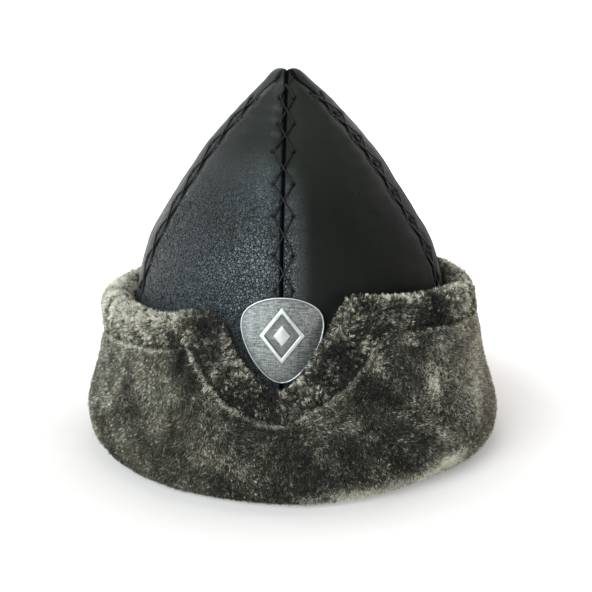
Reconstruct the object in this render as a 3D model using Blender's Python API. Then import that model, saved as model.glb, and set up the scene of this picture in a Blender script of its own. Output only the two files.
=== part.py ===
"""Bork hat: a pointed crown of four leather panels in a turned-up fur cuff, with a shield badge.

The front faces -Y, the wearer's head comes in from below, and the hat stands on the cuff at z = 0.
Sizes are written in millimetres and the meshes are built in metres.
"""

import math

import bmesh
import bpy
from mathutils import Vector

MM = 0.001
GAP = 0.3

# Crown
WALL = 2.0
CROWN_FOOT = 8.3
APEX_LEAN = -2.5
DEPTH_RATIO = 1.04
HUMP = 1.2
FLAT = 0.022
FLAT_FROM = 95.0
FLAT_FULL = 145.0

# Half-width of the crown by height
PROFILE = (
    # height, half-width
    (0.0, 97.0),
    (30.0, 96.2),
    (60.0, 93.2),
    (90.0, 89.2),
    (111.0, 84.8),
    (130.0, 76.8),
    (143.0, 69.0),
    (156.0, 60.2),
    (170.0, 50.0),
    (180.0, 42.0),
    (190.0, 33.4),
    (198.0, 25.2),
    (204.0, 19.2),
    (209.5, 13.8),
    (213.0, 10.4),
    (214.6, 7.6),
    (215.3, 4.4),
    (215.5, 0.7),
)
# Heights of the rows of points up each panel, closer together near the tip
LOW_ROWS = (CROWN_FOOT, 30.0, 50.0, 70.0, 88.0, 104.0, 118.0, 131.0, 143.0, 155.0, 166.0)
HIGH_ROWS = (176.0, 185.0, 193.0, 200.0, 205.5, 210.0, 213.0, 214.6, 215.3, 215.5)
PANEL_ROWS = LOW_ROWS + HIGH_ROWS

# Side seams, which come round towards the front as they rise and nearly meet in front of the tip
SIDE_SEAM = (
    # height, degrees from the front on the left, and on the right
    (0.0, 76.0, 79.0),
    (60.0, 75.0, 78.0),
    (100.0, 70.0, 75.0),
    (122.0, 66.5, 71.5),
    (155.0, 64.5, 69.5),
    (188.0, 62.5, 67.0),
    (200.0, 60.0, 64.0),
    (206.0, 55.0, 58.0),
    (210.0, 46.0, 48.0),
    (213.0, 36.0, 37.0),
    (214.6, 31.0, 32.0),
    (215.3, 33.0, 33.0),
    (215.5, 46.0, 46.0),
)

# Soft dents (negative) and swellings of the leather
SWELLS = (
    # degrees from the front, height, reach along the panel, reach up it, how far
    (-36.0, 150.0, 26.0, 34.0, 1.2),
    (-52.0, 112.0, 18.0, 20.0, -1.4),
    (34.0, 135.0, 24.0, 36.0, 1.0),
    (50.0, 172.0, 16.0, 18.0, -1.0),
    (-24.0, 186.0, 12.0, 16.0, -0.8),
    (128.0, 128.0, 30.0, 30.0, -1.6),
    (-132.0, 150.0, 30.0, 30.0, -1.4),
)

# Cuff
CUFF_DEPTH_RATIO = 1.01
LEDGE = CROWN_FOOT - GAP
HEM_DEPTH = 1.7
HEM_HALF = 4.0
ROLL = 9.0
CUFF_OUTSIDE = (
    # height, half-width
    (0.0, 112.0),
    (3.0, 118.0),
    (7.0, 121.6),
    (13.0, 122.4),
    (22.0, 122.0),
    (33.0, 119.4),
    (45.0, 115.2),
    (55.0, 112.6),
    (68.0, 111.4),
    (82.0, 109.4),
    (95.0, 107.4),
    (112.0, 105.8),
)
POCKET = (
    # height, room between the crown and the cuff
    (8.0, 0.3),
    (20.0, 0.9),
    (40.0, 2.2),
    (58.0, 3.8),
    (80.0, 4.4),
    (112.0, 5.2),
)
CUFF_EDGE = (
    # degrees from the front, top of the rim, hem line
    (-180.0, 97.5, 78.0),
    (-130.0, 91.5, 72.5),
    (-90.0, 87.0, 67.0),
    (-60.0, 91.5, 72.0),
    (-36.0, 93.4, 76.0),
    (-26.0, 98.4, 79.5),
    (-21.5, 98.0, 73.0),
    (-18.5, 93.5, 65.0),
    (-13.5, 77.6, 53.5),
    (-8.0, 67.0, 47.5),
    (-3.0, 59.5, 44.0),
    (1.0, 59.2, 43.0),
    (5.0, 65.0, 46.0),
    (11.0, 80.5, 54.0),
    (17.5, 98.0, 62.5),
    (22.0, 107.4, 74.0),
    (26.5, 106.6, 87.0),
    (37.0, 104.4, 87.5),
    (58.0, 101.6, 83.0),
    (90.0, 96.0, 76.5),
    (130.0, 95.5, 76.0),
    (180.0, 97.5, 78.0),
)
FOOT_SWELL = (
    # degrees from the front, how far the foot of the cuff stands out
    (-180.0, 0.0),
    (-90.0, 0.0),
    (-55.0, -1.4),
    (-25.0, -0.6),
    (-8.0, 0.6),
    (8.0, 2.4),
    (20.0, 0.6),
    (38.0, -2.4),
    (52.0, -0.6),
    (66.0, 1.8),
    (90.0, 1.4),
    (135.0, 0.0),
    (180.0, 0.0),
)
NOTCH_REACH = 32.0
NOTCH_STEPS = 38
ROUND_STEPS = 88
LOWER_ROWS = (0.0, 3.0, 7.5, 14.0, 23.0, 33.0)
ROLL_ANGLES = (0, 38, 72, 108, 142, 180)

# Locks of the fur, in rings round the cuff
LOCKS = (
    # from this share of the way up, locks round, slant in locks, stand-off at the tips
    (0.0, 31, 0.9, 1.7),
    (0.5, 37, -0.7, 1.5),
    (1.0, 41, 0.6, 1.4),
)

# Badge
BADGE_Z = 84.0
BADGE_OUTLINE = (
    # half-width, height above the middle of the badge
    (0.0, 20.4),
    (8.5, 19.8),
    (14.6, 18.2),
    (19.0, 15.2),
    (21.4, 10.6),
    (21.6, 5.4),
    (20.2, -0.6),
    (17.6, -7.0),
    (14.0, -13.2),
    (9.6, -18.6),
    (5.0, -22.4),
    (0.0, -24.0),
)
BADGE_RINGS = (
    # share of the outline, height above the back
    (0.55, 0.0),
    (0.92, 0.0),
    (1.0, 0.2),
    (1.0, 1.2),
    (0.965, 2.0),
    (0.93, 2.0),
    (0.895, 1.1),
    (0.55, 1.2),
)
MOTIF_LOW = 0.7
MOTIF_HIGH = 2.0
FRAME_SIZE = (11.6, 14.6)
FRAME_STROKE = 0.72
STUD_SIZE = (4.4, 5.6)
MOTIF_UP = 1.0


def between(table, x, column=1):
    """A column of a table at x, joined smoothly through its rows without overshooting them."""
    last = len(table) - 1
    if x <= table[0][0]:
        return table[0][column]
    if x >= table[last][0]:
        return table[last][column]
    i = 0
    while table[i + 1][0] < x:
        i += 1

    def slope(k):
        if k == 0 or k == last:
            return 0.0
        before = (table[k][column] - table[k - 1][column]) / (table[k][0] - table[k - 1][0])
        after = (table[k + 1][column] - table[k][column]) / (table[k + 1][0] - table[k][0])
        if before * after <= 0:
            return 0.0
        return 2 * before * after / (before + after)

    run = table[i + 1][0] - table[i][0]
    t = (x - table[i][0]) / run
    start, end = table[i][column], table[i + 1][column]
    return (
        start * (1 + 2 * t) * (1 - t) ** 2
        + slope(i) * run * t * (1 - t) ** 2
        + end * t * t * (3 - 2 * t)
        + slope(i + 1) * run * t * t * (t - 1)
    )


def turned(angle):
    """An angle in degrees brought between -180 and 180."""
    return (angle + 180.0) % 360.0 - 180.0


def side_seam(height, side):
    """Angle of a side seam at a height; side is -1 on the left and 1 on the right."""
    return side * between(SIDE_SEAM, height, 1 if side < 0 else 2)


def panel_share(angle, height):
    """How far across its panel a place on the crown lies, from 0 at one seam to 1 at the next."""
    across = abs(turned(angle))
    side = abs(side_seam(height, -1 if turned(angle) < 0 else 1))
    if across < side:
        return across / side
    return (across - side) / (180.0 - side)


def crown_normal(height):
    """The outward direction of the crown's profile: its level part and its rising part."""
    step = 0.4
    low, high = max(height - step, 0.0), min(height + step, PROFILE[-1][0])
    run = between(PROFILE, high) - between(PROFILE, low)
    rise = high - low
    size = math.hypot(run, rise)
    return rise / size, -run / size


def swell(angle, height):
    total = 0.0
    for at, level, wide, tall, far in SWELLS:
        away = (turned(angle - at) / wide) ** 2 + ((height - level) / tall) ** 2
        total += far * math.exp(-away)
    return total


def crown_radius(angle, height):
    """Half-width of the crown at an angle, flatter in the middle of each panel than at its seams."""
    share = panel_share(angle, height)
    flat = min(max((height - FLAT_FROM) / (FLAT_FULL - FLAT_FROM), 0.0), 1.0)
    radius = between(PROFILE, height) * (1 - FLAT * flat * 4 * share * (1 - share))
    return radius + swell(angle, height) * min(radius / 40.0, 1.0)


def crown_point(angle, height, inwards=0.0):
    """A point of the crown's leather, in millimetres; inwards is the depth below its outside."""
    level, rising = crown_normal(height)
    radius = max(crown_radius(angle, height) - inwards * level, 0.55)
    share = panel_share(angle, height)
    hump = HUMP * 4 * share * (1 - share) * math.exp(-((between(PROFILE, height) / 8.0) ** 2))
    lean = APEX_LEAN * (height / PROFILE[-1][0]) ** 2
    turn = math.radians(angle)
    return Vector((
        lean + radius * math.sin(turn),
        -DEPTH_RATIO * radius * math.cos(turn),
        height + hump - inwards * rising,
    ))


def material(name, colour, roughness, metallic=0.0):
    made = bpy.data.materials.new(name)
    made.use_nodes = True
    shader = made.node_tree.nodes["Principled BSDF"]
    shader.inputs["Base Color"].default_value = (*colour, 1.0)
    shader.inputs["Roughness"].default_value = roughness
    shader.inputs["Metallic"].default_value = metallic
    made.diffuse_color = (*colour, 1.0)
    return made


def make_object(name, bm, surface, parent):
    """Turns a bmesh in millimetres into an object, smooth but for its sharp edges."""
    bmesh.ops.recalc_face_normals(bm, faces=bm.faces)
    bmesh.ops.scale(bm, vec=(MM, MM, MM), verts=bm.verts)
    mesh = bpy.data.meshes.new(name)
    bm.to_mesh(mesh)
    bm.free()
    mesh.materials.append(surface)
    mesh.shade_smooth()
    mesh.set_sharp_from_angle(angle=math.radians(50))
    made = bpy.data.objects.new(name, mesh)
    bpy.context.collection.objects.link(made)
    made.parent = parent
    return made


def face_grid(bm, rows, closed):
    """Faces between rows of vertices; closed joins each row's end to its start."""
    for low, high in zip(rows, rows[1:]):
        count = len(low)
        for i in range(count if closed else count - 1):
            j = (i + 1) % count
            bm.faces.new((low[i], low[j], high[j], high[i]))


def crown_panel(name, first_seam, second_seam, columns, surface, parent):
    """One gore of the crown, 2 mm of leather between two seams, which are functions of the height."""
    bm = bmesh.new()
    sheets = []
    for inwards in (0.0, WALL):
        sheet = []
        for height in PANEL_ROWS:
            start, end = first_seam(height), second_seam(height)
            radius = max(between(PROFILE, height) - inwards * crown_normal(height)[0], 0.55)
            edge = math.degrees(GAP / 2 / radius)
            row = []
            for i in range(columns + 1):
                angle = start + edge + (end - start - 2 * edge) * i / columns
                row.append(bm.verts.new(crown_point(angle, height, inwards)))
            sheet.append(row)
        sheets.append(sheet)
    outside, inside = sheets
    face_grid(bm, outside, closed=False)
    face_grid(bm, inside, closed=False)
    for level in (0, -1):
        face_grid(bm, [outside[level], inside[level]], closed=False)
    for edge in (0, -1):
        face_grid(bm, [[row[edge] for row in outside], [row[edge] for row in inside]], closed=False)
    return make_object(name, bm, surface, parent)


def cuff_angles():
    """Angles round the cuff, closer together across the notch."""
    fine = [-NOTCH_REACH + 2 * NOTCH_REACH * i / NOTCH_STEPS for i in range(NOTCH_STEPS)]
    rest = 360.0 - 2 * NOTCH_REACH
    return fine + [NOTCH_REACH + rest * i / ROUND_STEPS for i in range(ROUND_STEPS)]


def lock_relief(angle, share):
    """How far the fur's locks stand off their backing; share is 0 at the foot, 1 at the hem line."""
    low, count, slant, far = [row for row in LOCKS if row[0] <= share][-1]
    along = share - low
    phase = count * angle / 360.0 + slant * along
    ridge = abs(math.sin(math.pi * phase)) ** 0.8
    long_or_short = 0.75 + 0.25 * math.sin(2.3 * math.floor(phase) + 1.7 * count)
    return far * ridge * long_or_short


def outside_radius(angle, height, share):
    """Half-width of the cuff's outside with its locks, and with the foot's own swelling."""
    foot = between(FOOT_SWELL, angle) * max(1 - height / 40.0, 0.0)
    locks = lock_relief(angle, share) * min(height / 8.0, 1.0)
    return between(CUFF_OUTSIDE, height) + foot + locks


def cuff_section(angle):
    """The cuff cut through at one angle: half-width, half-depth and height of each point, closed."""

    def outer(height, share, sunk=0.0):
        radius = outside_radius(angle, height, share) - sunk
        return radius, CUFF_DEPTH_RATIO * radius, height

    def inner(height):
        radius = between(PROFILE, height) + between(POCKET, height)
        return radius, DEPTH_RATIO * radius, height

    rim = between(CUFF_EDGE, angle, 1)
    hem = between(CUFF_EDGE, angle, 2)
    shoulder = rim - ROLL
    last_low = LOWER_ROWS[-1]
    climb = hem - HEM_HALF - last_low
    middle = (hem + HEM_HALF + shoulder) / 2
    section = [outer(height, height / hem) for height in LOWER_ROWS]
    section += [outer(last_low + climb * part, 0.6 + 0.3 * part) for part in (0.33, 0.67)]
    section += [outer(hem - HEM_HALF, 0.95), outer(hem, 1.0, HEM_DEPTH), outer(hem + HEM_HALF, 1.1)]
    section.append(outer(middle, 1.4))
    outside, inside = outer(shoulder, 1.6), inner(shoulder)
    for turn in ROLL_ANGLES:
        turn = math.radians(turn)
        over = (1 - math.cos(turn)) / 2
        width = outside[0] + (inside[0] - outside[0]) * over
        depth = outside[1] + (inside[1] - outside[1]) * over
        section.append((width, depth, shoulder + ROLL * math.sin(turn)))
    section += [inner(LEDGE + (shoulder - LEDGE) * part) for part in (0.7, 0.38, 0.14, 0.0)]
    brim = between(PROFILE, LEDGE) - WALL
    section.append((brim, DEPTH_RATIO * brim, LEDGE))
    section.append((brim, DEPTH_RATIO * brim, 0.0))
    return section


def fur_cuff(name, surface, parent):
    bm = bmesh.new()
    rings = []
    for angle in cuff_angles():
        turn = math.radians(angle)
        ring = []
        for width, depth, height in cuff_section(turned(angle)):
            lean = APEX_LEAN * (height / PROFILE[-1][0]) ** 2
            spot = (lean + width * math.sin(turn), -depth * math.cos(turn), height)
            ring.append(bm.verts.new(spot))
        rings.append(ring)
    face_grid(bm, [*rings, rings[0]], closed=True)
    return make_object(name, bm, surface, parent)


def badge_point(across, up, lift):
    """A point of the badge: across and up on its face, lift above the leather."""
    height = BADGE_Z + up
    level, rising = crown_normal(height)
    radius = between(PROFILE, height)
    lean = APEX_LEAN * (height / PROFILE[-1][0]) ** 2
    turn = math.asin(across / radius)
    out = radius + (GAP + lift) * level
    return Vector((
        lean + across + (GAP + lift) * level * math.sin(turn),
        -DEPTH_RATIO * out * math.cos(turn),
        height + (GAP + lift) * rising,
    ))


def shield_outline():
    """The badge's outline, down its right side and up its left."""
    right = []
    for start, end in zip(BADGE_OUTLINE, BADGE_OUTLINE[1:]):
        right.append(start)
        right.append(((start[0] + end[0]) / 2, (start[1] + end[1]) / 2))
    left = [(-across, up) for across, up in reversed(right[1:])]
    return right + [BADGE_OUTLINE[-1]] + left


def lozenge_ring(bm, outer, inner, steps):
    """A lozenge frame that stands on the badge, its top a little narrower than its foot."""

    def corners(size):
        return [(size[0], 0.0), (0.0, size[1]), (-size[0], 0.0), (0.0, -size[1])]

    def loop(size, lift):
        points = corners(size)
        made = []
        for start, end in zip(points, points[1:] + points[:1]):
            for i in range(steps):
                part = i / steps
                across = start[0] + (end[0] - start[0]) * part
                up = start[1] + (end[1] - start[1]) * part
                made.append(bm.verts.new(badge_point(across, up + MOTIF_UP, lift)))
        return made

    foot, top = 1.0, 0.94
    rows = [
        loop([side * foot for side in outer], MOTIF_LOW),
        loop([side * top for side in outer], MOTIF_HIGH),
    ]
    if inner:
        rows.append(loop([side / top for side in inner], MOTIF_HIGH))
        rows.append(loop(inner, MOTIF_LOW))
        face_grid(bm, [*rows, rows[0]], closed=True)
    else:
        face_grid(bm, rows, closed=True)
        bm.faces.new(rows[1])
        bm.faces.new(list(reversed(rows[0])))


def badge(name, surface, parent):
    """A shield plate with a raised rim, and a lozenge frame round a stud raised on it."""
    bm = bmesh.new()
    outline = shield_outline()
    rows = []
    for share, lift in BADGE_RINGS:
        rows.append([bm.verts.new(badge_point(a * share, u * share, lift)) for a, u in outline])
    face_grid(bm, rows, closed=True)
    for row, lift in ((rows[0], 0.0), (rows[-1], BADGE_RINGS[-1][1])):
        middle = bm.verts.new(badge_point(0.0, 0.0, lift))
        for start, end in zip(row, row[1:] + row[:1]):
            bm.faces.new((start, end, middle))
    plate = make_object(name, bm, surface, parent)

    raised = bmesh.new()
    lozenge_ring(raised, FRAME_SIZE, [side * FRAME_STROKE for side in FRAME_SIZE], steps=3)
    lozenge_ring(raised, STUD_SIZE, None, steps=1)
    motif = make_object(name + "_motif", raised, surface, parent)
    motif.hide_render = True
    motif.display_type = "WIRE"

    join = plate.modifiers.new("motif", "BOOLEAN")
    join.operation = "UNION"
    join.solver = "EXACT"
    join.object = motif
    return plate


def centre_shift(widest):
    """The move that brings the middle of the widest piece over the origin."""
    corners = [Vector(corner) for corner in widest.bound_box]
    low = Vector([min(corner[i] for corner in corners) for i in range(3)])
    high = Vector([max(corner[i] for corner in corners) for i in range(3)])
    middle = (low + high) / 2
    return Vector((-middle.x, -middle.y, 0.0))


def build():
    for thing in list(bpy.data.objects):
        bpy.data.objects.remove(thing)
    hat = bpy.data.objects.new("hat", None)
    bpy.context.collection.objects.link(hat)

    def front(height):
        return 0.0

    def back(height):
        return 180.0

    def right_side(height):
        return side_seam(height, 1)

    def left_side(height):
        return side_seam(height, -1)

    def left_side_from_back(height):
        return 360.0 + side_seam(height, -1)

    black = (0.035, 0.037, 0.038)
    panels = (
        # name, first seam, second seam, columns
        ("panel_front_left", left_side, front, 8),
        ("panel_front_right", front, right_side, 8),
        ("panel_back_right", right_side, back, 11),
        ("panel_back_left", back, left_side_from_back, 11),
    )
    for name, first, second, columns in panels:
        surface = material(name.replace("panel", "leather"), black, 0.42)
        crown_panel(name, first, second, columns, surface, hat)
    cuff = fur_cuff("fur_cuff", material("fur_grey", (0.17, 0.17, 0.145), 0.95), hat)
    badge("badge", material("pewter", (0.42, 0.42, 0.41), 0.36, 1.0), hat)
    hat.location = centre_shift(cuff)


build()
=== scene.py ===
import math

import bmesh
import bpy
import numpy as np
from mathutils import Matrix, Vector
from mathutils.bvhtree import BVHTree
from mathutils.kdtree import KDTree


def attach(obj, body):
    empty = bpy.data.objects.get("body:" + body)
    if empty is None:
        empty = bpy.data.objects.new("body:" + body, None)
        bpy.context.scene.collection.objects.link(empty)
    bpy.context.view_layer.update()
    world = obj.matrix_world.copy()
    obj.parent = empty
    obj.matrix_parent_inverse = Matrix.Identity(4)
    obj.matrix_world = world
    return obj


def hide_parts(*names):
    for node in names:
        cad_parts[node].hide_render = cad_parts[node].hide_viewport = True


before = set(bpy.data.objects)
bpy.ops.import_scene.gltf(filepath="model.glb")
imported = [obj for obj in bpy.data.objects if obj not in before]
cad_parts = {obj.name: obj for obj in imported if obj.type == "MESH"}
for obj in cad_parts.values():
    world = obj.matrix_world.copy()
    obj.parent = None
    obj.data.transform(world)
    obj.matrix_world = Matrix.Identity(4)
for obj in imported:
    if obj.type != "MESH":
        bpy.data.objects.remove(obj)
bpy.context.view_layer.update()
mm = 0.001


# Small helpers for meshes

def placed(name, data):
    made = bpy.data.objects.new(name, data)
    bpy.context.scene.collection.objects.link(made)
    return made


def finishedMesh(obj):
    # what modifiers, or a curve's bevel, make of an object
    graph = bpy.context.evaluated_depsgraph_get()
    return bpy.data.meshes.new_from_object(obj.evaluated_get(graph))


def mergedCopy(node):
    bm = bmesh.new()
    bm.from_mesh(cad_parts[node].data)
    bmesh.ops.remove_doubles(bm, verts=bm.verts, dist=0.01 * mm)
    bmesh.ops.join_triangles(
        bm, faces=bm.faces, angle_face_threshold=math.radians(40), angle_shape_threshold=math.radians(70)
    )
    return bm


def linkedObject(name, bm):
    mesh = bpy.data.meshes.new(name)
    bm.to_mesh(mesh)
    bm.free()
    return placed(name, mesh)


def creasedCopy(node, name, levels, sharpAbove=50.0):
    # a CAD node's merged quads, made smooth but for its sharp edges
    bm = mergedCopy(node)
    crease = bm.edges.layers.float.new("crease_edge")
    for edge in bm.edges:
        if len(edge.link_faces) == 2 and edge.calc_face_angle() > math.radians(sharpAbove):
            edge[crease] = 1.0
    made = linkedObject(name, bm)
    soften = made.modifiers.new("soften", "SUBSURF")
    soften.levels = levels
    soften.render_levels = levels
    smooth = finishedMesh(made)
    made.modifiers.clear()
    coarse = made.data
    made.data = smooth
    bpy.data.meshes.remove(coarse)
    return made


def vertexValues(mesh, kind):
    flat = np.zeros(len(mesh.vertices) * 3, np.float32)
    mesh.vertices.foreach_get(kind, flat)
    return flat.reshape(-1, 3).astype(float)


def pointValues(mesh, name, values):
    kept = mesh.attributes.new(name, "FLOAT", "POINT")
    kept.data.foreach_set("value", np.asarray(values, np.float32))


def pointTree(points):
    tree = KDTree(len(points))
    for index, point in enumerate(points):
        tree.insert(point, index)
    tree.balance()
    return tree


def unit(vectors):
    size = np.linalg.norm(vectors, axis=-1, keepdims=True)
    return vectors / np.maximum(size, 1e-12)


def smoothStep(low, high, x):
    t = np.clip((x - low) / (high - low), 0.0, 1.0)
    return t * t * (3 - 2 * t)


def bell(x):
    return np.exp(-(x ** 2))


def waves(points, size, seed, count=7):
    # soft seeded noise from -1 to 1, made of waves that run in all directions
    rng = np.random.default_rng(seed)
    total = np.zeros(len(points))
    for _ in range(count):
        direction = unit(rng.normal(size=3))
        pace = 2 * math.pi / (size * rng.uniform(0.7, 1.5))
        total += np.sin(points @ direction * pace + rng.uniform(0, 6.28))
    return total / math.sqrt(count)


# Small helpers for materials

def setInput(tree, socket, value):
    if isinstance(value, bpy.types.NodeSocket):
        tree.links.new(value, socket)
    else:
        socket.default_value = value


def makeNode(tree, kind, inputs=None, **settings):
    node = tree.nodes.new(kind)
    for key, value in settings.items():
        setattr(node, key, value)
    for key, value in (inputs or {}).items():
        setInput(tree, node.inputs[key], value)
    return node


def makeRamp(tree, factor, *stops):
    # each stop is a place from 0 to 1 and a grey or a colour
    node = makeNode(tree, "ShaderNodeValToRGB", {"Fac": factor})
    ramp = node.color_ramp
    while len(ramp.elements) < len(stops):
        ramp.elements.new(0.5)
    for element, (place, colour) in zip(ramp.elements, stops):
        element.position = place
        element.color = (*colour, 1.0) if isinstance(colour, tuple) else (colour, colour, colour, 1.0)
    return node.outputs["Color"]


def makeMath(tree, operation, first, second=0.0, third=0.0):
    inputs = {0: first, 1: second, 2: third}
    return makeNode(tree, "ShaderNodeMath", inputs, operation=operation).outputs[0]


def makeVector(tree, operation, first, second):
    inputs = {0: first, 1: second}
    return makeNode(tree, "ShaderNodeVectorMath", inputs, operation=operation).outputs["Vector"]


def mixColours(tree, factor, first, second, blend="MIX"):
    node = makeNode(tree, "ShaderNodeMix", {"Factor": factor}, data_type="RGBA", blend_type=blend)
    for place, value in ((6, first), (7, second)):
        setInput(tree, node.inputs[place], (*value, 1.0) if isinstance(value, tuple) else value)
    return node.outputs[2]


def makeFade(tree, value, low, high, start, end):
    # goes softly from start to end while the value goes from low to high
    return makeNode(tree, "ShaderNodeMapRange", {
        "Value": value, 1: low, 2: high, 3: start, 4: end,
    }, interpolation_type="SMOOTHSTEP").outputs["Result"]


def makeNoise(tree, place, scale, detail, roughness=0.5):
    return makeNode(tree, "ShaderNodeTexNoise", {
        "Vector": place, "Scale": scale, "Detail": detail, "Roughness": roughness,
    }).outputs


def ownValue(tree, name, kind="Fac"):
    # a value that the piece's own mesh carries
    return makeNode(tree, "ShaderNodeAttribute", attribute_name=name).outputs[kind]


def addBump(tree, shader, height, strength, distance):
    inputs = {"Height": height, "Strength": strength, "Distance": distance}
    normal = makeNode(tree, "ShaderNodeBump", inputs).outputs["Normal"]
    tree.links.new(normal, shader.inputs["Normal"])
    return normal


def makeGroup(name, inputs, outputs):
    group = bpy.data.node_groups.new(name, "ShaderNodeTree")
    for label, kind, value in inputs:
        socket = group.interface.new_socket(name=label, in_out="INPUT", socket_type=kind)
        socket.default_value = value
    for label, kind in outputs:
        group.interface.new_socket(name=label, in_out="OUTPUT", socket_type=kind)
    start = group.nodes.new("NodeGroupInput")
    end = group.nodes.new("NodeGroupOutput")
    return group, start.outputs, end.inputs


def useGroup(tree, group, inputs):
    return makeNode(tree, "ShaderNodeGroup", inputs, node_tree=group).outputs


def newMaterial(name, inputs):
    made = bpy.data.materials.new(name)
    made.use_nodes = True
    shader = made.node_tree.nodes["Principled BSDF"]
    for key, value in inputs.items():
        shader.inputs[key].default_value = value
    place = makeNode(made.node_tree, "ShaderNodeTexCoord").outputs["Object"]
    return made, made.node_tree, shader, place


# Shared effects

def makePebbleGrain():
    # leather grain: pebbles of two sizes with creases between them, a little crumpled
    group, given, result = makeGroup(
        "pebbleGrain",
        [
            ("Place", "NodeSocketVector", (0.0, 0.0, 0.0)),
            ("Pebbles per metre", "NodeSocketFloat", 620.0),
            ("Crumple", "NodeSocketFloat", 0.5),
        ],
        [("Height", "NodeSocketFloat"), ("Creases", "NodeSocketFloat")],
    )
    drift = makeNoise(group, given["Place"], 330.0, 3.0, 0.6)["Color"]
    centred = makeVector(group, "SUBTRACT", drift, (0.5, 0.5, 0.5))
    pushed = makeVector(group, "MULTIPLY", centred, (0.0026, 0.0026, 0.0026))
    place = makeVector(group, "ADD", given["Place"], pushed)
    nets = []
    for share, low, high in ((1.0, 0.02, 0.25), (0.64, 0.01, 0.17)):
        cells = makeNode(group, "ShaderNodeTexVoronoi", {
            "Vector": place, "Randomness": 1.0,
            "Scale": makeMath(group, "MULTIPLY", given["Pebbles per metre"], share),
        }, feature="DISTANCE_TO_EDGE")
        nets.append(makeFade(group, cells.outputs["Distance"], low, high, 1.0, 0.0))
    crumple = makeNoise(group, given["Place"], 420.0, 2.0)["Fac"]
    uneven = makeRamp(group, crumple, (0.35, 0.25), (0.62, 0.9))
    cracks = makeMath(group, "MAXIMUM", makeMath(group, "MULTIPLY", nets[0], uneven), nets[1])
    crumpled = makeMath(group, "MULTIPLY", crumple, given["Crumple"])
    group.links.new(makeMath(group, "MULTIPLY_ADD", cracks, -0.8, crumpled), result["Height"])
    group.links.new(cracks, result["Creases"])
    return group


def makeCloudiness():
    # slow change over a surface, from 0 to 1
    group, given, result = makeGroup(
        "cloudiness",
        [
            ("Place", "NodeSocketVector", (0.0, 0.0, 0.0)),
            ("Clouds per metre", "NodeSocketFloat", 20.0),
            ("Contrast", "NodeSocketFloat", 1.0),
        ],
        [("Amount", "NodeSocketFloat")],
    )
    field = makeNoise(group, given["Place"], given["Clouds per metre"], 3.0, 0.55)["Fac"]
    centred = makeMath(group, "SUBTRACT", field, 0.5)
    stretched = makeMath(group, "MULTIPLY_ADD", centred, given["Contrast"], 0.5)
    limited = makeNode(group, "ShaderNodeClamp", {"Value": stretched})
    group.links.new(limited.outputs["Result"], result["Amount"])
    return group


pebbleGrain = makePebbleGrain()
cloudiness = makeCloudiness()
print("shared effects made")


def cloudsOn(tree, place, perMetre, contrast):
    return useGroup(tree, cloudiness, {
        "Place": place, "Clouds per metre": perMetre, "Contrast": contrast,
    })["Amount"]


# Camera

view = {
    "place": (0.0365, -0.6691, 0.2564),
    "turnDegrees": (75.44, 0.0, 2.91),
    "lens": 70.34,
    "sensor": 36.0,
}
lens = bpy.data.cameras.new("camera")
lens.lens = view["lens"]
lens.sensor_width = view["sensor"]
camera = placed("camera", lens)
camera.location = view["place"]
camera.rotation_euler = [math.radians(turn) for turn in view["turnDegrees"]]
bpy.context.scene.camera = camera


# Seams of the crown, read from the gaps between the CAD panels

seamPanels = {
    "front": ("panel_front_left", "panel_front_right"),
    "right": ("panel_front_right", "panel_back_right"),
    "back": ("panel_back_right", "panel_back_left"),
    "left": ("panel_back_left", "panel_front_left"),
}
crown = {
    "wall": 2.0 * mm,
    "gap": 0.3 * mm,
    "tipGap": 0.04 * mm,
    "depthRatio": 1.04,
    "pairReach": 0.34 * mm,  # how close the vertices of two panels lie at a seam
    "throughWall": (1.2 * mm, 2.3 * mm),  # how far an inner edge may lie from its outer one
    "rowStep": 1.15 * mm,
    "middleStep": 2.9 * mm,
    "clearColumns": 7,  # columns beside a seam where the CAD panel's edge rounds off
    "innerRowEvery": 6,
    "innerColumns": 16,
}
# distances from the seam of the columns along it, closer together where the edge turns in
edgeColumns = np.array([
    0, 0.16, 0.36, 0.62, 0.95, 1.4, 1.95, 2.6, 3.35, 4.1, 4.8, 5.4, 6.0, 6.7, 7.6, 8.8, 10.4,
]) * mm


def seamControls(first, second):
    # middle of the outer edges of two panels that meet, from the foot to the tip
    one = mergedCopy(first)
    two = mergedCopy(second)
    tree = pointTree([vert.co for vert in two.verts])
    middles = []
    for vert in one.verts:
        near, _, away = tree.find(vert.co)
        if away < crown["pairReach"]:
            middles.append((vert.co + near) / 2)
    one.free()
    two.free()
    heart = Vector((0, 0, 0.06))
    least, most = crown["throughWall"]
    outer = []
    for spot in middles:
        own = (spot - heart).length + 0.8 * mm
        around = [other for other in middles if least < (other - spot).length < most]
        if not any((other - heart).length > own for other in around):
            outer.append(spot)
    outer.sort(key=lambda spot: spot.z)
    return np.array([list(spot) for spot in outer])


def along(controls, place):
    # smooth curve through the rows of controls; place counts rows
    place = np.clip(place, 0, len(controls) - 1)
    low = np.minimum(place.astype(int), len(controls) - 2)
    t = (place - low)[:, None]
    last = len(controls) - 1
    before = controls[np.maximum(low - 1, 0)]
    start = controls[low]
    end = controls[low + 1]
    after = controls[np.minimum(low + 2, last)]
    return 0.5 * (
        2 * start
        + (end - before) * t
        + (2 * before - 5 * start + 4 * end - after) * t ** 2
        + (3 * start - before - 3 * end + after) * t ** 3
    )


def evened(rows, times=3):
    # running mean over neighbouring rows
    count = len(rows)
    for _ in range(times):
        padded = np.pad(rows, [(3, 3)] + [(0, 0)] * (rows.ndim - 1), mode="edge")
        rows = sum(padded[k:k + count] for k in range(7)) / 7
    return rows


def evenedDown(rows):
    # evened further away from the tip, so that no ring of the guide's rows is left
    share = smoothStep(16 * mm, 34 * mm, tipDown).reshape([-1] + [1] * (rows.ndim - 1))
    soft = evened(rows)
    return soft + (evened(rows, 9) - soft) * share


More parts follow.
